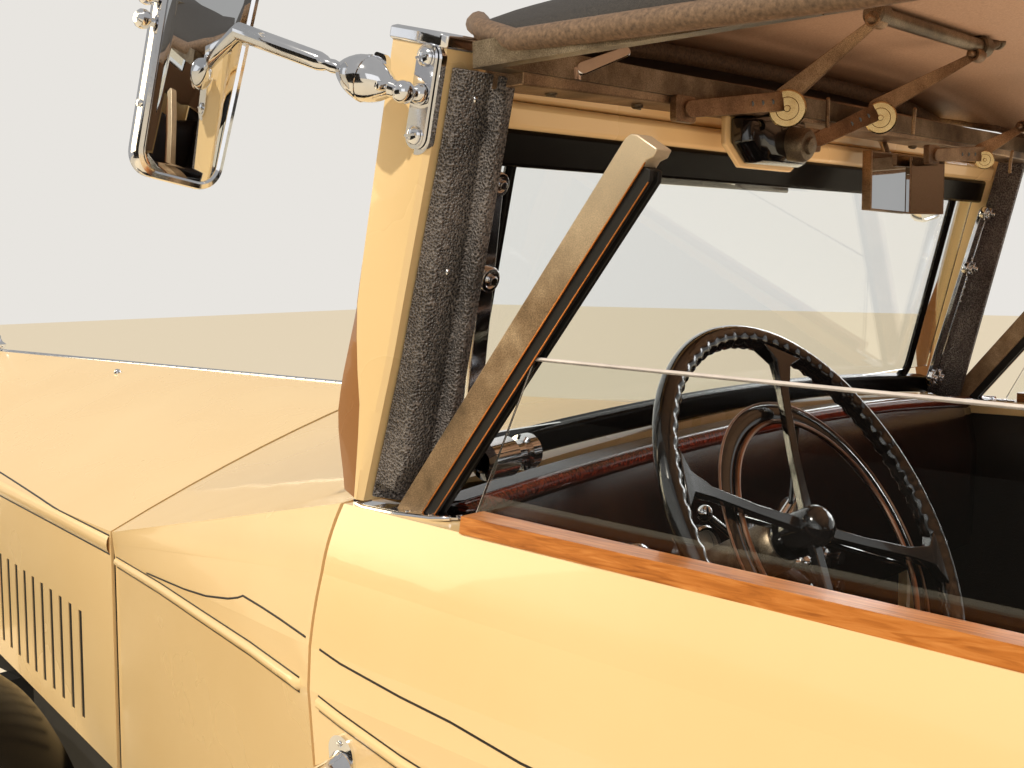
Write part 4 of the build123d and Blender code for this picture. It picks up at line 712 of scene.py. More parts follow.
# Inside mirror: a main glass and a narrower one turned towards the driver, by their corners
MIRROR_PANES = [((-0.100, -0.088, 1.577), (-0.108, -0.188, 1.575), (-0.108, -0.188, 1.497), (-0.100, -0.088, 1.500)),
                ((-0.108, -0.189, 1.575), (-0.140, -0.224, 1.568), (-0.140, -0.224, 1.496), (-0.108, -0.189, 1.497))]
panes, backs = [], []
for corners in MIRROR_PANES:
    corners = [Vector(p) for p in corners]
    n = (corners[1] - corners[0]).cross(corners[3] - corners[0]).normalized()
    if n.x > 0:
        n = -n
    mid = sum(corners, Vector()) / 4
    backs.append(skin([[mid + (p - mid) * grow + n * ahead for p in corners] for grow, ahead in
                       ((1.0, -0.012), (1.0, 0.0005), (0.985, 0.0018), (0.955, 0.0018), (0.95, 0.0008))],
                      caps="first"))
    panes.append(([mid + (p - mid) * 0.952 + n * 0.0011 for p in corners], [(0, 1, 2, 3)]))
shape("inside_mirror_case", merge(*backs), aged_bronze, bevel=0.0005)
shape("inside_mirror_glass", merge(*panes), looking_glass)
stem = curve_points([(-0.095, -0.150, 1.566), (-0.085, -0.155, 1.590), (-0.070, -0.165, 1.606)], 5)
shape("inside_mirror_stem", merge(tube(stem, 0.005, 12), ball((-0.094, -0.150, 1.560), 0.010)), chrome)

# Bright screen stays inside each post, with their toothed adjusters
stays = []
for u_top, u_foot in ((0.596, 0.572), (0.572, 0.546)):
    high, low = on_screen(u_top, 0.318, -0.034), on_screen(u_foot, 0.040, -0.034)
    stays.append(link_bar(high, low, 0.018, 0.022, 0.006, SCREEN_AHEAD))
    for part in (0.0, 0.33, 1.0):
        stays.append(disc(high.lerp(low, part) - SCREEN_AHEAD * 0.004, -SCREEN_AHEAD, 0.0115 + 0.003 * part, 0.009))
for k in range(7):
    stays.append(plate(on_screen(0.585, 0.170 + k * 0.012, -0.039), Y_DIR, SCREEN_UP,
                       rrect(0.020, 0.005, 0.001, 2), 0.004))
pair("screen_stays", merge(*stays), chrome, bevel=0.0008)


# The hood's cloth: a smooth shell over its bows, open at the sides
def circle_height(a, b, c, x):
    """Height at x of the circle through three side-view points, on b's side."""
    ax, az, bx, bz, cx, cz = *a, *b, *c
    aa, bb, cc = ax * ax + az * az, bx * bx + bz * bz, cx * cx + cz * cz
    d = 2 * (ax * (bz - cz) + bx * (cz - az) + cx * (az - bz))
    ux = (aa * (bz - cz) + bb * (cz - az) + cc * (az - bz)) / d
    uz = (aa * (cx - bx) + bb * (ax - cx) + cc * (bx - ax)) / d
    reach = (ax - ux) ** 2 + (az - uz) ** 2
    return uz + math.copysign(math.sqrt(max(0.0, reach - (x - ux) ** 2)), bz - uz)


HOOD_FRONT, HOOD_BREAK, HOOD_BACK = 0.014, -1.790, -2.203
HOOD_FOOT = 1.1806
HOOD_TOP = ((0.014, 1.690), (-0.860, 1.742), (-1.790, 1.706))
HOOD_SLOPE = ((-1.790, 1.706), (-2.050, 1.490), (-2.205, 1.180))
HOOD_PLAN = [(0.014, 0.672), (-0.910, 0.704), (-1.503, 0.704), (-1.950, 0.672), (-2.120, 0.634), (-2.205, 0.540)]
HOOD_EAVE = [(0.014, 1.6645), (-0.060, 1.650), (-0.145, 1.614), (-0.470, 1.600), (-1.582, 1.596)]
HOOD_BOWS = (-0.105, -0.420, -0.860, -1.300, -1.720)
PANEL_TOP_X, PANEL_FOOT_X = -1.600, -1.516
LOW_ROWS, SIDE_ROWS, MIDDLE_ROWS = 7, 15, 7
WINDOW_HALF, WINDOW_LOW, WINDOW_HIGH = 0.270, 1.390, 1.540


def hood_height(x):
    """The hood's crown, which hangs a little between its bows."""
    z = circle_height(*(HOOD_TOP if x > HOOD_BREAK else HOOD_SLOPE), x)
    for a, b in zip(HOOD_BOWS, HOOD_BOWS[1:]):
        if b < x < a:
            z -= 0.007 * math.sin(math.pi * (a - x) / (a - b)) ** 1.3
    return z


def slope_x(z):
    """Where along the car the rear slope stands at one height."""
    low, high = HOOD_BACK, HOOD_BREAK
    for _ in range(40):
        mid_x = (low + high) / 2
        low, high = (mid_x, high) if circle_height(*HOOD_SLOPE, mid_x) < z else (low, mid_x)
    return (low + high) / 2


def hood_section(x):
    """Points of the hood's left side at one x, from its foot up and over to the middle."""
    top, half = hood_height(x), between(HOOD_PLAN, x)
    hinge = HOOD_FOOT + 0.75 * (top - HOOD_FOOT)
    points = [Vector((x, half * (1 - 0.02 * i / 8), HOOD_FOOT + (hinge - HOOD_FOOT) * i / 8)) for i in range(8)]
    for a in (math.pi / 2 * i / 40 for i in range(41)):
        points.append(Vector((x, 0.98 * half * max(0.0, math.cos(a)) ** 0.667,
                              hinge + (top - hinge) * math.sin(a) ** 0.667)))
    return points


def spaced(points, count):
    """Points evenly spaced along a line of points."""
    lengths = [0.0]
    for a, b in zip(points, points[1:]):
        lengths.append(lengths[-1] + (b - a).length)
    out = []
    for i in range(count + 1):
        want = lengths[-1] * i / count
        j = 0
        while j < len(points) - 2 and lengths[j + 1] < want:
            j += 1
        span = lengths[j + 1] - lengths[j]
        out.append(points[j].lerp(points[j + 1], (want - lengths[j]) / span if span > 1e-9 else 0))
    return out


def cut_line(points, passed):
    """A line of points cut in two where passed(point) changes sign."""
    for i, (a, b) in enumerate(zip(points, points[1:])):
        if passed(a) <= 0 < passed(b):
            knot = a.lerp(b, passed(a) / (passed(a) - passed(b)))
            return points[: i + 1] + [knot], [knot] + points[i + 1:]
    return points[:1] + points[:1], points


def hood_column(x):
    """One column across the car, with knots at the eave and beside the rear window."""
    eave = between(HOOD_EAVE, x) if x >= PANEL_TOP_X else HOOD_FOOT + 0.776 * (hood_height(x) - HOOD_FOOT)
    low, high = cut_line(hood_section(x), lambda p: p.z - eave)
    outer, inner = cut_line(high, lambda p: WINDOW_HALF - p.y)
    left = spaced(low, LOW_ROWS) + spaced(outer, SIDE_ROWS)[1:] + spaced(inner, MIDDLE_ROWS)[1:]
    if x <= PANEL_TOP_X:  # the quarter panel's front edge leans forward at its foot
        lean = (PANEL_FOOT_X - PANEL_TOP_X) * max(0.0, 1 - (PANEL_TOP_X - x) / 0.20)
        for p in left[:LOW_ROWS]:
            p.x += lean * (left[LOW_ROWS].z - p.z) / (left[LOW_ROWS].z - left[0].z)
    return left + [Vector((p.x, -p.y, p.z)) for p in reversed(left[:-1])]


def hood_places():
    """Where the net's columns stand, with two on the rear window's edges."""
    window = (slope_x(WINDOW_HIGH), slope_x(WINDOW_LOW))
    marks = [HOOD_FRONT, *HOOD_BOWS[:4], PANEL_TOP_X, HOOD_BOWS[4], HOOD_BREAK, *window, HOOD_BACK]
    xs = []
    for a, b, n in zip(marks, marks[1:], [3, 6, 8, 8, 6, 3, 2, 8, 6, 8]):
        xs += [a + (b - a) * i / n for i in range(n)]
    return xs + [HOOD_BACK], window


def make_hood():
    """The cloth with its lining, its rolled edges, and the rear window's frame and pane."""
    xs, window = hood_places()
    columns = [hood_column(x) for x in xs]
    rows = len(columns[0])
    verts = [p for column in columns for p in column]
    faces, area = [], 0.0
    for i in range(len(xs) - 1):
        mid_x = (xs[i] + xs[i + 1]) / 2
        for j in range(rows - 1):
            a, b = i * rows + j, (i + 1) * rows + j
            in_window = window[1] < mid_x < window[0] and abs(verts[a].y + verts[b + 1].y) / 2 < WINDOW_HALF
            beside_seats = mid_x > PANEL_TOP_X and not LOW_ROWS <= j < rows - 1 - LOW_ROWS
            if in_window or beside_seats:
                continue
            faces.append((a, b, b + 1, a + 1))
            p, q, r, s = verts[a], verts[a + 1], verts[b + 1], verts[b]
            area += (q - p).cross(s - p).length / 2 + (q - r).cross(s - r).length / 2
    used = sorted({k for face in faces for k in face})
    index = {k: n for n, k in enumerate(used)}
    hood = shape("hood_cloth", ([verts[k] for k in used], [tuple(index[k] for k in f) for f in faces]), cloth,
                 solid=0.004, inner=lining, angle=60, stands_for="hood")
    panel = min(range(len(xs)), key=lambda k: abs(xs[k] - PANEL_TOP_X))
    edge = [column[LOW_ROWS] for column in columns[: panel + 1]] + columns[panel][:LOW_ROWS][::-1]
    side_roll = tube([p + Vector((0, -0.004, 0.002)) for p in edge], 0.010, 12)
    front = columns[0][LOW_ROWS: rows - LOW_ROWS]
    front_roll = tube([p + Vector((-0.004, 0, -0.010)) for p in front], 0.015, 14)
    valance = []
    for p in front:
        high = p + Vector((-0.008, 0, -0.016))
        low = Vector((-0.034, max(-0.600, min(0.600, p.y * 0.93)), 1.6395))
        valance.append([high, high.lerp(low, 0.5) + Vector((0.006, 0, -0.004)), low])
    shape("hood_valance", skin(valance, caps="", wrap=False), cloth, solid=0.003, inner=cloth)
    edges = shape("hood_rolls", merge(side_roll, mirrored(side_roll), front_roll), roll_cloth, angle=70)
    first, last = xs.index(window[0]), xs.index(window[1])
    left, right = LOW_ROWS + SIDE_ROWS, rows - 1 - LOW_ROWS - SIDE_ROWS
    ring = [columns[first][j] for j in range(left, right + 1)]
    ring += [columns[k][right] for k in range(first + 1, last)]
    ring += [columns[last][j] for j in range(right, left - 1, -1)]
    ring += [columns[k][left] for k in range(last - 1, first, -1)]
    shape("rear_window_frame", tube(ring, 0.008, 10, closed=True), chrome)
    pane = [[p + Vector((0.002, 0, -0.002)) for p in column[left: right + 1]] for column in columns[first: last + 1]]
    shape("rear_window_pane", skin(pane, caps="", wrap=False), glass_m, solid=0.003)


make_hood()


# Cabin linings. CABIN_ROWS: x and half width inside the walls
CABIN_ROWS = [(0.080, 0.613), (-0.910, 0.663), (-1.503, 0.663), (-1.950, 0.633), (-2.160, 0.583), (-2.240, 0.556),
              (-2.248, 0.486)]
REAR_AXLE_X, REAR_AXLE_Z = -1.550, 0.375


def lining_panel(x_front, x_back, z_low, z_high, pleats, arch):
    """A pleated lining on the left wall, cut round the wheel arch of one radius if there is one."""
    columns = []
    for i in range(37):
        x = x_front + (x_back - x_front) * i / 36
        low = z_low
        if arch and arch ** 2 > (x - REAR_AXLE_X) ** 2:
            low = max(z_low, REAR_AXLE_Z + math.sqrt(arch ** 2 - (x - REAR_AXLE_X) ** 2))
        wave = 0.0025 * abs(math.sin(math.pi * pleats * i / 36))
        columns.append([Vector((x, between(CABIN_ROWS, x) - 0.006 - (wave if 0 < j < 8 else 0.0),
                                low + (z_high - low) * j / 8)) for j in range(9)])
    return skin(columns, caps="", wrap=False)


# Each lining: name, body, front x, back x, low and high edge, pleats, arch radius
for name, body, *sizes in (("door_lining_front", "door_front_{}_body", 0.055, -0.872, 0.470, 1.176, 14, None),
                           ("door_lining_rear", "door_rear_{}_body", -0.952, -1.470, 0.640, 1.168, 8, 0.560),
                           ("rear_lining", "car_body", -1.520, -2.200, 0.560, 1.170, 0, 0.440)):
    pair(name, lining_panel(*sizes), leather, body=body, solid=0.004)
kick_rows = [[Vector((x, y, z)) for z in (0.556, 0.85, high)]
             for x, y, high in ((0.640, 0.505, 1.02), (0.360, 0.560, 1.115), (0.090, 0.606, 1.115))]
pair("kick_lining", skin(kick_rows, caps="", wrap=False), leather, solid=0.004)


# Seats
def cushion(x0, x1, y0, y1, z_low, z_high, pleats):
    """An upholstered block with round edges and a crowned, pleated top."""
    rings = []
    for t, grow in ((0.0, 0.0), (0.25, 0.01), (0.5, 0.012), (0.78, 0.0), (0.93, -0.01575), (1.0, -0.045)):
        rings.append([Vector(((x0 + x1) / 2 + x, (y0 + y1) / 2 + y, z_low + (z_high - z_low) * t))
                      for x, y in rrect(x1 - x0 + grow * 2, y1 - y0 + grow * 2, 0.05)])
    low_x, high_x = min(p.x for p in rings[-1]) + 0.012, max(p.x for p in rings[-1]) - 0.012
    low_y, high_y = min(p.y for p in rings[-1]) + 0.012, max(p.y for p in rings[-1]) - 0.012
    crown = []
    for s in (i / 16 for i in range(17)):
        row = []
        for t in (j / 48 for j in range(49)):
            dome = (1 - (2 * s - 1) ** 4) * (1 - (2 * t - 1) ** 6)
            groove = 0.006 * abs(math.sin(math.pi * pleats * t))
            row.append(Vector((low_x + (high_x - low_x) * s, low_y + (high_y - low_y) * t,
                               z_high - 0.002 + dome * (0.014 + groove))))
        crown.append(row)
    return merge(skin(rings), skin(crown, caps="", wrap=False))


def squab(x_low, x_high, y0, y1, z_low, z_high, pleats):
    """A seat's back: a padded slab that leans from its foot to its top, pleated in front."""
    high, wide, thick = 18, 36, 0.115
    sides = []
    for way in (1, -1):
        rows = []
        for t in (i / high for i in range(high + 1)):
            row = []
            for s in (j / wide for j in range(wide + 1)):
                edge = min(1.0, min(t, 1 - t) * 7) ** 0.5 * min(1.0, min(s, 1 - s) * 9) ** 0.5
                pleat = 0.008 * abs(math.sin(math.pi * pleats * s)) * min(1.0, (1 - t) * 5) if way > 0 else 0
                depth = thick / 2 * (0.35 + 0.65 * edge) + pleat * edge
                row.append(Vector((x_low + (x_high - x_low) * t + way * depth, y0 + (y1 - y0) * s,
                                   z_low + (z_high - z_low) * t)))
            rows.append(row)
        sides.append(skin(rows, caps="", wrap=False))
    sides[1] = sides[1][0], [tuple(reversed(face)) for face in sides[1][1]]
    verts, faces = merge(*sides)
    block, line = (high + 1) * (wide + 1), wide + 1
    rim = list(range(line)) + [i * line + wide for i in range(1, high + 1)]
    rim += [high * line + j for j in range(wide - 1, -1, -1)] + [i * line for i in range(high - 1, 0, -1)]
    return verts, faces + [(b, a, a + block, b + block) for a, b in zip(rim, rim[1:] + rim[:1])]


for side, y0, y1 in (("left", 0.046, 0.564), ("right", -0.564, -0.046)):
    seat = merge(cushion(-0.845, -0.352, y0, y1, 0.5465, 0.755, 7), squab(-0.835, -0.905, y0, y1, 0.700, 1.126, 7))
    ob = shape(f"front_seat_{side}", seat, leather, angle=50, stands_for="front_seats")
seat = merge(cushion(-1.835, -1.285, -0.586, 0.586, 0.5465, 0.775, 14),
             squab(-1.815, -1.890, -0.586, 0.586, 0.720, 1.126, 15))
ob = shape("rear_bench", seat, leather, angle=50, stands_for="rear_seat")
carpet = [(0.050, 0.596), (-0.860, 0.648), (-1.110, 0.648), (-1.110, 0.600), (-1.330, 0.600)]
carpet += [(x, -y) for x, y in reversed(carpet)]
shape("floor_carpet", plate((0, 0, 0.5452), X_DIR, Y_DIR, carpet, 0.006), carpet_m)


# Dashboard: an arched board, a rail of garnet wood, dials, switches and the windscreen's wing nut
def dash_top(y):
    """Height of the dashboard's top edge, which follows the scuttle."""
    return 1.196 + 0.028 * (1 - (y / 0.60) ** 2)


board = []
for y in (-0.598 + 1.196 * i / 40 for i in range(41)):
    top = dash_top(y)
    board.append([Vector((x, y, z)) for x, z in ((-0.0425, 0.958), (-0.0475, 1.118), (-0.034, top - 0.010),
                                                 (-0.022, top), (0.020, top + 0.004))])
shape("dash_board", skin(board, caps="", wrap=False), dark_wood, solid=0.004)
roll = [Vector((-0.030, y, dash_top(y) + 0.001)) for y in (-0.596 + 1.192 * i / 36 for i in range(37))]
shape("dash_roll", tube(roll, 0.009, 12), garnet)
DIALS = [(0.361, 1.075, 0.052), (0.225, 1.085, 0.040), (0.500, 1.085, 0.030), (0.090, 1.095, 0.030),
         (0.000, 1.095, 0.030)]
DIAL_AXIS = (-1, 0, -0.03)
RIM_ROWS = ((0, 1), (0.008, 1.02), (0.011, 0.97), (0.009, 0.88), (0.003, 0.87))
rims, dial_faces, needles = [], [], []
for y, z, radius in DIALS:
    place = Vector((-0.0465, y, z))
    rims.append(lathe(place, DIAL_AXIS, [(t, radius * part) for t, part in RIM_ROWS], 36))
    dial_faces.append(lathe(place, DIAL_AXIS, [(0.002, radius * 0.88), (0.0025, 0)], 36))
    a = random.uniform(0.5, 2.4)
    start = place + Vector((-0.0045, 0, 0))
    tip = start + Vector((0, math.cos(a), math.sin(a))) * radius * 0.7
    needles.append(link_bar(start, tip, 0.004, 0.0015, 0.001, X_DIR))
shape("dial_rims", merge(*rims), chrome)
shape("dial_faces", merge(*dial_faces), dial_m)
shape("dial_needles", merge(*needles), chrome)
knob = [(0, 0.010), (0.004, 0.010), (0.006, 0.006), (0.016, 0.006), (0.020, 0.009), (0.026, 0.009), (0.028, 0)]
shape("dash_switches", merge(*[lathe((-0.044, y, z), (-1, 0, 0), knob, 16) for y in (-0.09, -0.05, 0.135, 0.165)
                               for z in (1.03, 0.99)]), chrome)
fitting = [(0, 0.012), (0.004, 0.020), (0.040, 0.021), (0.044, 0.017), (0.046, 0.014), (0.060, 0.014), (0.062, 0.019),
           (0.074, 0.019), (0.077, 0.013), (0.078, 0)]
shape("screen_wing_nut", lathe((-0.005, 0.545, 1.236), (0.0, -1, 0.04), fitting, 28), chrome)

# Steering wheel: a scalloped rim, four spokes, a boss, and a horn ring nearer the dashboard
WHEEL_MID = Vector((-0.281, 0.361, 1.182))
DOWN = Vector((math.cos(math.radians(31.0)), 0, -math.sin(math.radians(31.0))))
WHEEL_U = Vector((0, 1, 0))
WHEEL_V = DOWN.cross(WHEEL_U)
RING_SHIFT = -WHEEL_V * 0.018 - WHEEL_U * 0.032
WHEEL_BODY = "steering_wheel_body"
SPOKES = (22, 112, 202, 292)


def wheel_point(radius, angle, along=0.0):
    """A point in the steering wheel's plane, in metres and degrees."""
    a = math.radians(angle)
    return WHEEL_MID + (WHEEL_U * math.cos(a) + WHEEL_V * math.sin(a)) * radius + DOWN * along


def ring_point(radius, angle, along):
    """A point on the horn ring, whose middle stands low of the rim's."""
    return wheel_point(radius, angle, along) + RING_SHIFT


def steering_rim():
    """The rim, with finger grips on its inner and lower side."""
    rings = []
    for angle in (360 * i / 240 for i in range(240)):
        grip = 0.0022 * (0.5 + 0.5 * math.cos(math.radians(angle) * 72)) / 0.012
        ring = []
        for b in (2 * math.pi * j / 14 for j in range(14)):
            scale = 1 - (grip if math.cos(b) < -0.2 or math.sin(b) > 0.6 else 0)
            ring.append(wheel_point(0.205 + 0.0125 * math.cos(b) * scale, angle, 0.0118 * math.sin(b) * scale))
        rings.append(ring)
    return skin(rings, caps="", loop=True)


# Along a spoke: radius, half width, half thickness, place along the column
SPOKE_ROWS = ((0.016, 0.0070, 0.0045, 0.012), (0.080, 0.0056, 0.004, 0.010), (0.150, 0.0062, 0.004, 0.004),
              (0.182, 0.011, 0.006, 0.0), (0.197, 0.030, 0.008, 0.0))


def steering_spoke(angle):
    """A flat spoke that widens into the rim."""
    rings = []
    for radius, half, thick, along in SPOKE_ROWS:
        tilt = math.degrees(half / radius)
        rings.append([wheel_point(radius, angle + a, along + w)
                      for a, w in ((-tilt, -thick), (tilt, -thick), (tilt, thick), (-tilt, thick))])
    return skin(rings)


def horn_circle(radius, along):
    """Points round the horn ring."""
    return [ring_point(radius, 5 * i, along) for i in range(72)]


shape("steering_rim", merge(steering_rim(), *[steering_spoke(a) for a in SPOKES]), plastic, body=WHEEL_BODY,
      bevel=0.0012, angle=60, stands_for="steering_wheel")
boss = [(-0.012, 0), (-0.0115, 0.008), (-0.009, 0.014), (-0.004, 0.0185), (0.0, 0.020), (0.026, 0.022),
        (0.032, 0.022), (0.033, 0.010)]
shape("steering_boss", lathe(WHEEL_MID, DOWN, boss), plastic, body=WHEEL_BODY, stands_for="steering_wheel")
shape("horn_ring", tube(horn_circle(0.143, 0.020), 0.0100, 12, closed=True, flat=(0.35, 1.0), up=DOWN), plastic,
      body=WHEEL_BODY)
shape("horn_ring_lines", merge(tube(horn_circle(0.132, 0.016), 0.0028, 8, closed=True),
                               tube(horn_circle(0.154, 0.018), 0.0013, 8, closed=True)), ring_line, body=WHEEL_BODY)
shape("horn_ring_arms", merge(*[tube([wheel_point(0.034, a, 0.026), ring_point(0.136, a, 0.020)], 0.0026, 8)
                                for a in SPOKES]), plastic, body=WHEEL_BODY)
stalks = []
for angle, reach, lift in ((30, 0.100, 0.075), (150, 0.090, 0.075), (200, 0.070, 0.095)):
    root, tip = wheel_point(0.022, angle, lift), wheel_point(reach, angle, lift - 0.02)
    stalks += [tube([root, tip], [0.0045, 0.0035], 10), ball(tip, 0.008, 12)]
shape("column_levers", merge(*stalks), chrome)
sleeve = [(0.046, 0.0), (0.046, 0.022), (0.052, 0.0265), (0.180, 0.0265), (0.190, 0.0215)]
shape("column_sleeve", lathe(WHEEL_MID, DOWN, sleeve, 32), worn_steel)

# Levers and pedals
gear = curve_points([(0.02, 0.0, 0.56), (-0.02, 0.0, 0.70), (-0.10, 0.0, 0.82), (-0.13, 0.0, 0.86)], 6)
boot = [(0, 0.07), (0.02, 0.06), (0.05, 0.02), (0.055, 0.01)]
shape("gear_lever", merge(tube(gear, 0.008, 12), ball((-0.132, 0, 0.872), 0.022, 20),
                          lathe((0.02, 0, 0.551), UP, boot, 24)), plastic)
brake = curve_points([(0.10, 0.16, 0.56), (0.04, 0.16, 0.72), (-0.02, 0.16, 0.83)], 6)
shape("hand_brake", tube(brake, 0.007, 12), chrome)
pedals = []
for y in (0.28, 0.37, 0.46):
    pedals += [tube(curve_points([(0.56, y, 0.80), (0.50, y, 0.68), (0.44, y, 0.62)], 5), 0.008, 10),
               plate((0.425, y, 0.605), Y_DIR, (0.55, 0, 0.83), rrect(0.07, 0.09, 0.012, 4), 0.010)]
shape("pedals", merge(*pedals), worn_steel, bevel=0.001)

# Body details that follow the CAD's own surface: beads, pinstripes, handles and studs
TREES = {}


def hug(node, x, z, out=0.0, side=1):
    """A point on the outside of a CAD node at one place and height, with its normal."""
    if node not in TREES:
        me = nodes[node].data
        TREES[node] = BVHTree.FromPolygons([v.co for v in me.vertices], [tuple(p.vertices) for p in me.polygons])
    hit, normal, _, _ = TREES[node].ray_cast(Vector((x, side * 1.5, z)), Vector((0, -side, 0)), 1.5)
    return (None, None) if hit is None else (hit + normal * out, normal)


def upright(normal):
    """The direction up a surface."""
    return (UP - normal * normal.z).normalized()


def hugging_strip(node, rows, half_high, out, side=1, bulge=0.9):
    """A half-round strip that follows a body side along (x, z) rows."""
    sections = []
    for x, z in rows:
        place, normal = hug(node, x, z, out, side)
        if place is not None:
            up = upright(normal)
            sections.append([place + up * half_high * math.sin(a) + normal * half_high * bulge * math.cos(a)
                             for a in (math.radians(-90 + 30 * j) for j in range(7))])
    return skin(sections, caps="", wrap=False) if sections else ([], [])


def line_rows(points, step=0.02):
    """(x, z) rows spaced along a few given ones."""
    out = []
    for (x0, z0), (x1, z1) in zip(points, points[1:]):
        n = max(1, int(abs(x1 - x0) / step))
        out += [(x0 + (x1 - x0) * i / n, z0 + (z1 - z0) * i / n) for i in range(n)]
    return out + [points[-1]]


def lifted(rows, high):
    """The same line, higher or lower."""
    return [(x, z + high) for x, z in rows]


# Each run: name, body, node, and its (x, z) line for the bead and for the upper pinstripe
RUNS = [
    ("scuttle", "car_body", "scuttle",
     [(0.742, 1.010), (0.545, 1.0165), (0.390, 1.0185), (0.235, 1.0210), (0.084, 1.0195)],
     [(0.600, 1.0245), (0.560, 1.0279), (0.450, 1.0371), (0.373, 1.0463), (0.304, 1.0592), (0.275, 1.0670),
      (0.262, 1.0720), (0.213, 1.0724), (0.159, 1.0719), (0.084, 1.0697)]),
    ("door_front", "door_front_{}_body", "door_front_{}",
     [(0.066, 1.0125), (0.032, 1.0050), (-0.058, 0.9890), (-0.200, 0.9720), (-0.400, 0.9600), (-0.872, 0.9520)],
     [(0.066, 1.0650), (0.0325, 1.0591), (-0.058, 1.0504), (-0.1265, 1.0462), (-0.2124, 1.0363), (-0.400, 1.0270),
      (-0.872, 1.0150)]),
    ("post", "car_body", "centre_posts", [(-0.886, 0.9520), (-0.934, 0.9515)], [(-0.886, 1.0150), (-0.934, 1.0145)]),
    ("door_rear", "door_rear_{}_body", "door_rear_{}", [(-0.948, 0.9510), (-1.486, 0.9460)],
     [(-0.948, 1.0140), (-1.486, 1.0080)]),
    ("tub", "car_body", "rear_tub", [(-1.512, 0.9460), (-2.245, 0.9400)], [(-1.512, 1.0080), (-2.245, 1.0000)]),
]
SIGNS = (("left", 1), ("right", -1))
for name, body, node, bead_line, stripe_line in RUNS:
    for side, sign in SIGNS:
        own, rows = node.format(side), line_rows(bead_line)
        bead = hugging_strip(own, rows, 0.0062, -0.0005, sign)
        if len(bead[0]) > 14:
            shape(f"bead_{name}_{side}", bead, cream, body=body.format(side), angle=70)
            stripes = [hugging_strip(own, line_rows(stripe_line, 0.01), 0.0012, 0.0002, sign, 0.35),
                       hugging_strip(own, lifted(rows, 0.0072), 0.0010, 0.0002, sign, 0.35),
                       hugging_strip(own, lifted(rows, -0.0072), 0.0014, 0.0002, sign, 0.35)]
            shape(f"pinstripes_{name}_{side}", merge(*stripes), stripe_and_shade_paint, body=body.format(side), angle=70)

# The bonnet's bead and lines, a dark sheet behind its louvres that paints the shade inside the slots, and the panel
# between bonnet and wing
LOUVRE_FIRST, LOUVRE_PITCH, LOUVRE_LOW = 0.870, 0.0445, 0.734
for side, sign in SIGNS:
    own, body = f"bonnet_{side}", f"bonnet_{side}_body"
    rows = line_rows([(0.760, 1.0325), (2.290, 1.0660)], 0.03)
    shape(f"bead_bonnet_{side}", hugging_strip(own, rows, 0.0130, -0.0005, sign, 0.42), cream, body=body, angle=70)
    # The line above the bead is its dark gap; the line below it is painted shade under the bead
    shape(f"bonnet_gap_and_shade_lines_{side}", merge(hugging_strip(own, lifted(rows, 0.0134), 0.0016, 0.0002, sign, 0.35),
                                        hugging_strip(own, lifted(rows, -0.0140), 0.0014, 0.0002, sign, 0.35)),
          stripe_and_shade_paint, body=body, angle=70)
    # A black sheet just inside the bonnet's skin, behind all the louvres: painted shade seen through the slots
    columns = []
    for x in (LOUVRE_FIRST + LOUVRE_PITCH * i for i in range(33)):
        places = [hug(own, x, z, -0.0015, sign)[0] for z in (LOUVRE_LOW, 0.906 + 0.04 * (x - 0.885))]
        if None in places:
            break
        columns.append(places)
    shape(f"louvre_shade_sheet_{side}", skin(columns, caps="", wrap=False), groove_m, body=body, slot="black_plastic")
    panel = [(0.320, 0.560), (1.180, 0.560), (1.180, 0.706), (0.320, 0.700)]
    shape(f"wing_valance_{side}", skin([[Vector((x, sign * y, z)) for x, z in panel] for y in (0.468, 0.471)]),
          chassis_black)


def door_handle(node, sign, x, z, pull):
    """A bright pull handle on an oval plate; pull is the way the lever points."""
    place, normal = hug(node, x, z, 0.0, sign)
    along, up = Vector((pull, 0, 0)), upright(normal)
    thick = math.copysign(0.005, along.cross(up).dot(normal))
    neck = [(0.0, 0.016), (0.006, 0.0155), (0.012, 0.011), (0.034, 0.010), (0.040, 0.012), (0.046, 0.012),
            (0.050, 0.008), (0.051, 0)]
    route = curve_points([place + normal * out + along * reach for out, reach in
                          ((0.040, 0.0), (0.042, 0.030), (0.040, 0.085), (0.030, 0.112))], 6)
    radii = [0.0095 + 0.002 * math.sin(math.pi * i / (len(route) - 1)) for i in range(len(route))]
    screws = [part for rise in (0.023, -0.023) for part in screw(place + normal * 0.004 + up * rise, normal, 0.0035)]
    return merge(plate(place - normal * 0.001, along, up, rrect(0.036, 0.062, 0.0179, 8), thick),
                 lathe(place, normal, neck, 24), tube(route, radii, 14, flat=(1.0, 0.65), up=up), *screws)


for door, x, z, pull in (("door_front", 0.030, 0.960, -1), ("door_rear", -1.405, 0.895, 1)):
    for side, sign in SIGNS:
        shape(f"{door}_handle_{side}", door_handle(f"{door}_{side}", sign, x, z, pull), chrome,
              body=f"{door}_{side}_body", angle=40)

# The bonnet's hinge knuckles and its studs
hinge_rows = [(0, 0.0), (0.0006, 0.0058), (0.0274, 0.0058), (0.028, 0.0)]
shape("bonnet_hinge_knuckles", merge(*[lathe((0.752 + i * 0.030, 0, 1.2175), X_DIR, hinge_rows, 14)
                                       for i in range(52)]), chrome)
stud = [(-0.001, 0.008), (0.002, 0.008), (0.006, 0.0065), (0.009, 0.003), (0.0095, 0)]
for side, sign in SIGNS:
    studs = []
    tree = BVHTree.FromObject(nodes[f"bonnet_{side}"], bpy.context.evaluated_depsgraph_get())
    for x, y in ((0.790, 0.060), (1.60, 0.055), (2.25, 0.050)):
        hit, normal, _, _ = tree.ray_cast(Vector((x, y * sign, 1.5)), -UP, 1.0)
        studs.append(lathe(hit, normal, stud, 20))
    shape(f"bonnet_studs_{side}", merge(*studs), chrome, body=f"bonnet_{side}_body")

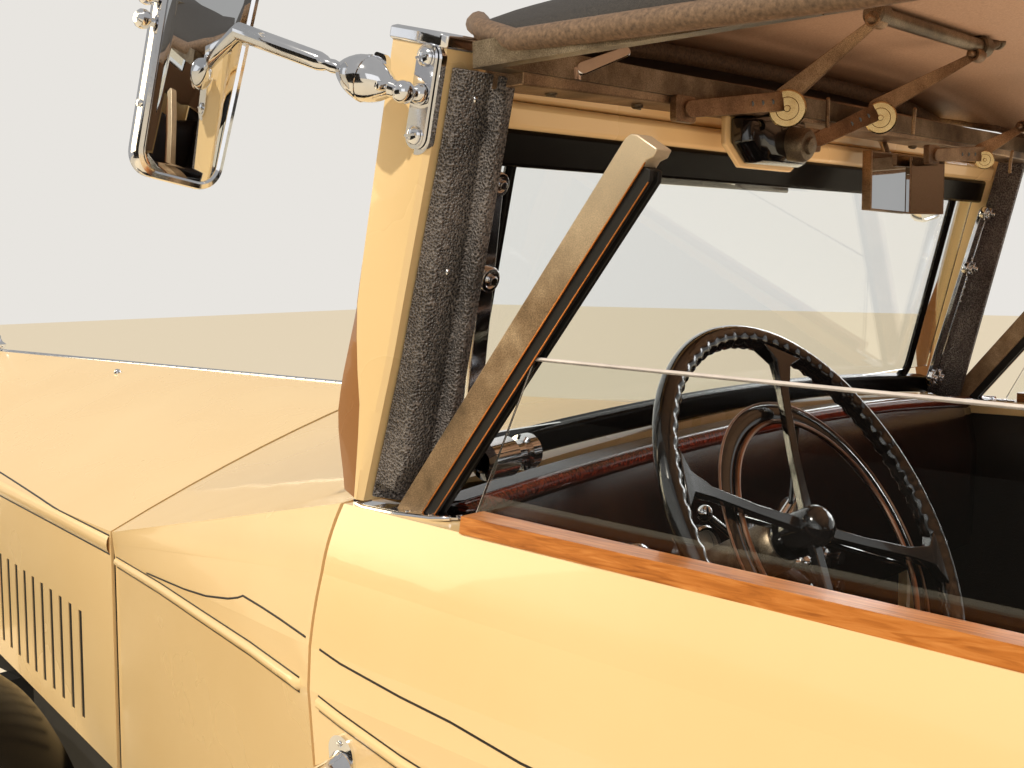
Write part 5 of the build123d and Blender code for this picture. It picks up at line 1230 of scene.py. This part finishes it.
# Wheels: tyre skins with tread and side ribs, hub caps, trim rings and valves
CAP_ROWS = [(0.062, 0.094), (0.070, 0.094), (0.078, 0.086), (0.086, 0.060), (0.092, 0.030), (0.094, 0.012),
            (0.0945, 0)]
TRIM_ROWS = [(0.061, 0.244), (0.068, 0.246), (0.0695, 0.243), (0.064, 0.232), (0.060, 0.222)]
TYRE_ROWS = [(-0.050, 0.2375), (-0.058, 0.243), (-0.070, 0.270), (-0.0745, 0.285), (-0.0765, 0.287),
             (-0.0785, 0.300), (-0.0775, 0.318), (-0.0755, 0.322), (-0.072, 0.335), (-0.066, 0.350),
             (-0.060, 0.3580), (-0.054, 0.3605), (-0.040, 0.3660), (-0.020, 0.3700), (0.0, 0.3712)]
TYRE_ROWS += [(-t, r) for t, r in reversed(TYRE_ROWS[:-1])]
# Tread rows: middle, width, stagger in blocks, skew
TREAD_ROWS = ((-0.052, 0.017, 0.0, 1), (-0.028, 0.018, 0.5, 1), (0.0, 0.024, 0.0, 0), (0.028, 0.018, 0.5, -1),
              (0.052, 0.017, 0.0, -1))
TREAD_RADIUS, TREAD_BLOCKS = 0.3745, 64


def tread(place, axis):
    """Blocks across a tyre's crown in five rows, with grooves between."""
    axis, u, v = basis(axis)
    verts, faces = [], []
    for offset, wide, stagger, lean in TREAD_ROWS:
        outer = TREAD_RADIUS - 0.0125 * (abs(offset) / 0.058) ** 2
        for i in range(TREAD_BLOCKS):
            b = len(verts)
            for edge, way in ((0.10, -1), (0.90, 1)):
                a = 2 * math.pi * (i + edge + stagger) / TREAD_BLOCKS
                low, high = offset - wide / 2 + 0.006 * way * lean, offset + wide / 2 + 0.006 * way * lean
                for w, r in ((low, outer - 0.004), (low, outer + 0.0005), (high, outer + 0.0005),
                             (high, outer - 0.004)):
                    verts.append(Vector(place) + axis * w + (u * math.cos(a) + v * math.sin(a)) * r)
            faces += [(b + 1, b + 2, b + 6, b + 5), (b, b + 1, b + 5, b + 4), (b + 2, b + 3, b + 7, b + 6),
                      (b, b + 3, b + 2, b + 1), (b + 4, b + 5, b + 6, b + 7)]
    return verts, faces


def dress_wheel(skin_name, cap_name, trim_name, node, place, axis, body="car_body"):
    """A tyre's skin in place of its node, and the wheel's bright trim."""
    shape(skin_name, merge(lathe(place, axis, TYRE_ROWS, 96), tread(place, axis)), tyre_m, body=body, angle=32,
          stands_for=node)
    shape(cap_name, lathe(place, axis, CAP_ROWS, 48), chrome, body=body)
    shape(trim_name, lathe(place, axis, TRIM_ROWS, 72), chrome, body=body)


for end, x in (("front", 2.100), ("rear", REAR_AXLE_X)):
    for side, sign in SIGNS:
        name, place, axis = f"{end}_{side}", Vector((x, 0.735 * sign, REAR_AXLE_Z)), Vector((0, sign, 0))
        body = f"wheel_{name}_body"
        dress_wheel(f"tyre_skin_{name}", f"hub_cap_{name}", f"rim_trim_{name}", f"tyre_{name}", place, axis, body)
        valve = place + axis * 0.050 + Vector((0.0, 0, 0.222))
        shape(f"tyre_valve_{name}", tube([valve, valve + axis * 0.028 - Vector((0, 0, 0.012))], [0.0045, 0.004], 10),
              rubber, body=body)
dress_wheel("spare_tyre_skin", "spare_cap", "spare_trim", "spare_tyre", (-2.388, 0, 0.830), (-1, 0, 0))

# Ends of the car: lamps, radiator cap, bumper bolts, and the running boards' ribs
headlamp_rim = [(-0.014, 0.1285), (-0.004, 0.1305), (0.004, 0.1295), (0.009, 0.1235), (0.0095, 0.1165),
                (0.005, 0.1150)]
headlamp_lens = [(0.005, 0.1155), (0.0125, 0.100), (0.0165, 0.070), (0.0185, 0.040), (0.0190, 0)]
tail_lens = [(-0.002, 0.036), (0.004, 0.035), (0.010, 0.028), (0.013, 0.014), (0.014, 0)]
tail_rim = [(-0.004, 0.0425), (0.003, 0.043), (0.006, 0.040), (0.004, 0.036)]
for side, sign in SIGNS:
    lamp, tail = (2.540, 0.470 * sign, 0.880), (-2.336, 0.520 * sign, 0.760)
    shape(f"headlamp_rim_{side}", lathe(lamp, X_DIR, headlamp_rim, 64), chrome)
    shape(f"headlamp_lens_{side}", lathe(lamp, X_DIR, headlamp_lens, 48), lens_m)
    shape(f"tail_lens_{side}", lathe(tail, (-1, 0, 0), tail_lens, 32), red_lens)
    shape(f"tail_rim_{side}", lathe(tail, (-1, 0, 0), tail_rim, 32), chrome)
    ribs = [link_bar((-1.020, y * sign, 0.3895), (0.300, y * sign, 0.3895), 0.006, 0.006, 0.003)
            for y in (0.705 + i * 0.0135 for i in range(14))]
    shape(f"board_ribs_{side}", merge(*ribs), rubber, bevel=0.0008, seg=1)
cap = [(0.0, 0.030), (0.006, 0.034), (0.012, 0.034), (0.018, 0.026), (0.026, 0.022), (0.034, 0.022), (0.038, 0.016),
       (0.039, 0)]
shape("radiator_cap", lathe((2.352, 0, 1.222), UP, cap, 32), chrome)
bolt = [(-0.001, 0.013), (0.002, 0.013), (0.006, 0.009), (0.0075, 0.004), (0.0078, 0)]
shape("bumper_bolts", merge(*[lathe((2.680 * way, y, z), (way, 0, 0), bolt, 18) for way in (1, -1)
                              for y in (-0.41, 0.41) for z in (0.447, 0.497)]), chrome)

# Glass channels on the front doors: a tarnished plate with a rubber groove behind it. Outlines are in metres
# ahead of and up the channel's middle line
CHANNEL_RAKE = math.radians(40)
CHANNEL_FOOT = Vector((-0.004, 0.630, 1.1999))
CHANNEL_UP = Vector((-math.sin(CHANNEL_RAKE), 0, math.cos(CHANNEL_RAKE)))
CHANNEL_AHEAD = Vector((math.cos(CHANNEL_RAKE), 0, math.sin(CHANNEL_RAKE)))


def on_channel(ahead, up, y=0.0):
    """A point of the left channel."""
    return CHANNEL_FOOT + CHANNEL_AHEAD * ahead + CHANNEL_UP * up + Vector((0, y, 0))


def slab(outline, y_low, y_high):
    """A slab of the channel between two places across it."""
    return skin([[on_channel(a, b, y) for a, b in outline] for y in (y_low, y_high)])


def level_foot(ahead):
    """How far up the channel's line the door's top cuts it."""
    return 0.0004 - ahead * math.tan(CHANNEL_RAKE)


front, rear, groove, top = 0.0165, -0.0110, -0.0228, 0.4260
plate_line = [(front, level_foot(front)), (front, top - 0.009), (front - 0.0025, top - 0.003), (front - 0.008, top),
              (rear - 0.003, top + 0.003), (rear - 0.004, top - 0.004), (rear, top - 0.010), (rear, level_foot(rear))]
groove_line = [(rear + 0.001, level_foot(rear)), (rear + 0.001, top - 0.016), (groove + 0.005, top - 0.014),
               (groove, top - 0.021), (groove, level_foot(groove))]
web_line = [(a if a > groove + 0.003 else a + 0.004, b) for a, b in groove_line]
DOOR = "door_front_{}_body"
pair("channel_plate", slab(plate_line, -0.0098, 0.0098), channel_metal, body=DOOR, bevel=0.0012,
     stands_for="glass_channel_{}")
pair("channel_groove", merge(slab(groove_line, 0.0032, 0.0080), slab(groove_line, -0.0080, -0.0032),
                             slab(web_line, -0.0034, 0.0034)), groove_m, body=DOOR, bevel=0.0006,
     stands_for="glass_channel_{}")
edges = [tube([on_channel(a, level_foot(a) + 0.001, y), on_channel(a, high, y)], 0.0007, 8)
         for a, y, high in ((rear - 0.0004, 0.0096, top - 0.012), (groove + 0.0004, 0.0078, top - 0.022))]
pair("channel_edges", merge(*edges), copper, body=DOOR)
pair("door_glass_rims", merge(tube([(-0.159, 0.634, 1.3525), (-0.847, 0.6687, 1.3385)], 0.0017, 8),
                              tube([(-0.0805, 0.630, 1.204), (-0.1588, 0.634, 1.352)], 0.0009, 8)),
     glass_edge, body=DOOR)


# Stage: floor, world and lamps. The dark board and mat, out of the camera's sight, give the door's glass its
# dark reflection
def stage_plane(name, corners, colour, rough):
    """A plain plane of the stage."""
    me = bpy.data.meshes.new(name)
    me.from_pydata(corners, [], [(0, 1, 2, 3)])
    look = Look(name)
    me.materials.append(look.finish({"Base Color": linear(colour), "Roughness": rough}))
    ob = link(bpy.data.objects.new(name, me))
    return ob


def area_lamp(name, place, target, size, power, colour=(1, 1, 1)):
    """A rectangular lamp that points at a target."""
    data = bpy.data.lights.new(name, "AREA")
    data.shape = "RECTANGLE"
    data.size, data.size_y = size
    data.energy, data.color = power, colour
    ob = link(bpy.data.objects.new(name, data))
    ob.location = place
    ob.rotation_euler = (Vector(target) - Vector(place)).to_track_quat("-Z", "Y").to_euler()
    return ob


def light_world():
    """Soft light all round, and a pale background for the camera and through glass."""
    world = bpy.data.worlds.new("studio")
    scene.world = world
    world.use_nodes = True
    tree = world.node_tree
    soft = tree.nodes["Background"]
    wire(tree, soft, {"Color": (1, 0.985, 0.96, 1), "Strength": 0.42})
    pale = add_node(tree, "Background", {"Color": linear((232, 229, 224)), "Strength": 1.0})
    seen = add_node(tree, "Math", {0: add_node(tree, "LightPath", {}, "Is Camera Ray"),
                                   1: add_node(tree, "LightPath", {}, "Is Transmission Ray")}, operation="MAXIMUM")
    mixed = add_node(tree, "MixShader", {"Fac": seen, 1: soft.outputs[0], 2: pale})
    tree.links.new(mixed, tree.nodes["World Output"].inputs["Surface"])


ground = cad_low[2]
stage_plane("studio_floor", [(x, y, ground) for x, y in ((-30, -30), (30, -30), (30, 30), (-30, 30))],
            (224, 212, 190), 0.8)
board = stage_plane("dark_flag", [(-1.0, 7.5, ground), (14.0, 7.5, ground), (14.0, 7.5, 3.6), (-1.0, 7.5, 3.6)],
                    (40, 36, 30), 0.9)
board.visible_camera = board.visible_shadow = False
mat = stage_plane("dark_mat", [(x, y, ground + 0.002) for x, y in ((-1.0, 4.7), (14.6, 4.7), (14.6, 7.5), (-1.0, 7.5))],
                  (40, 36, 30), 0.9)
mat.visible_camera = mat.visible_shadow = mat.visible_diffuse = False
light_world()
sun = bpy.data.lights.new("sun", "SUN")
sun.energy, sun.angle, sun.color = 2.6, math.radians(1.4), (1.0, 0.93, 0.80)
sky = link(bpy.data.objects.new("sun", sun))
sky.rotation_euler = Vector((0.12, -0.60, -0.79)).to_track_quat("-Z", "Y").to_euler()
area_lamp("rear_fill", (-4.0, 4.5, 2.6), (0, 0.3, 1.0), (3.5, 2.5), 18)
area_lamp("front_fill", (5.0, 3.0, 3.0), (1.0, 0, 0.8), (3.0, 2.5), 95, (1.0, 0.82, 0.52))
area_lamp("right_fill", (0.5, -5.0, 3.0), (0.3, 0, 0.8), (4, 2.5), 90)
bounce = area_lamp("hood_bounce", (-0.75, 0, 1.16), (-0.75, 0, 2.0), (1.3, 0.9), 7, (1.0, 0.74, 0.55))
bounce.visible_camera = bounce.visible_glossy = bounce.visible_transmission = False

scene.view_settings.view_transform = "Standard"
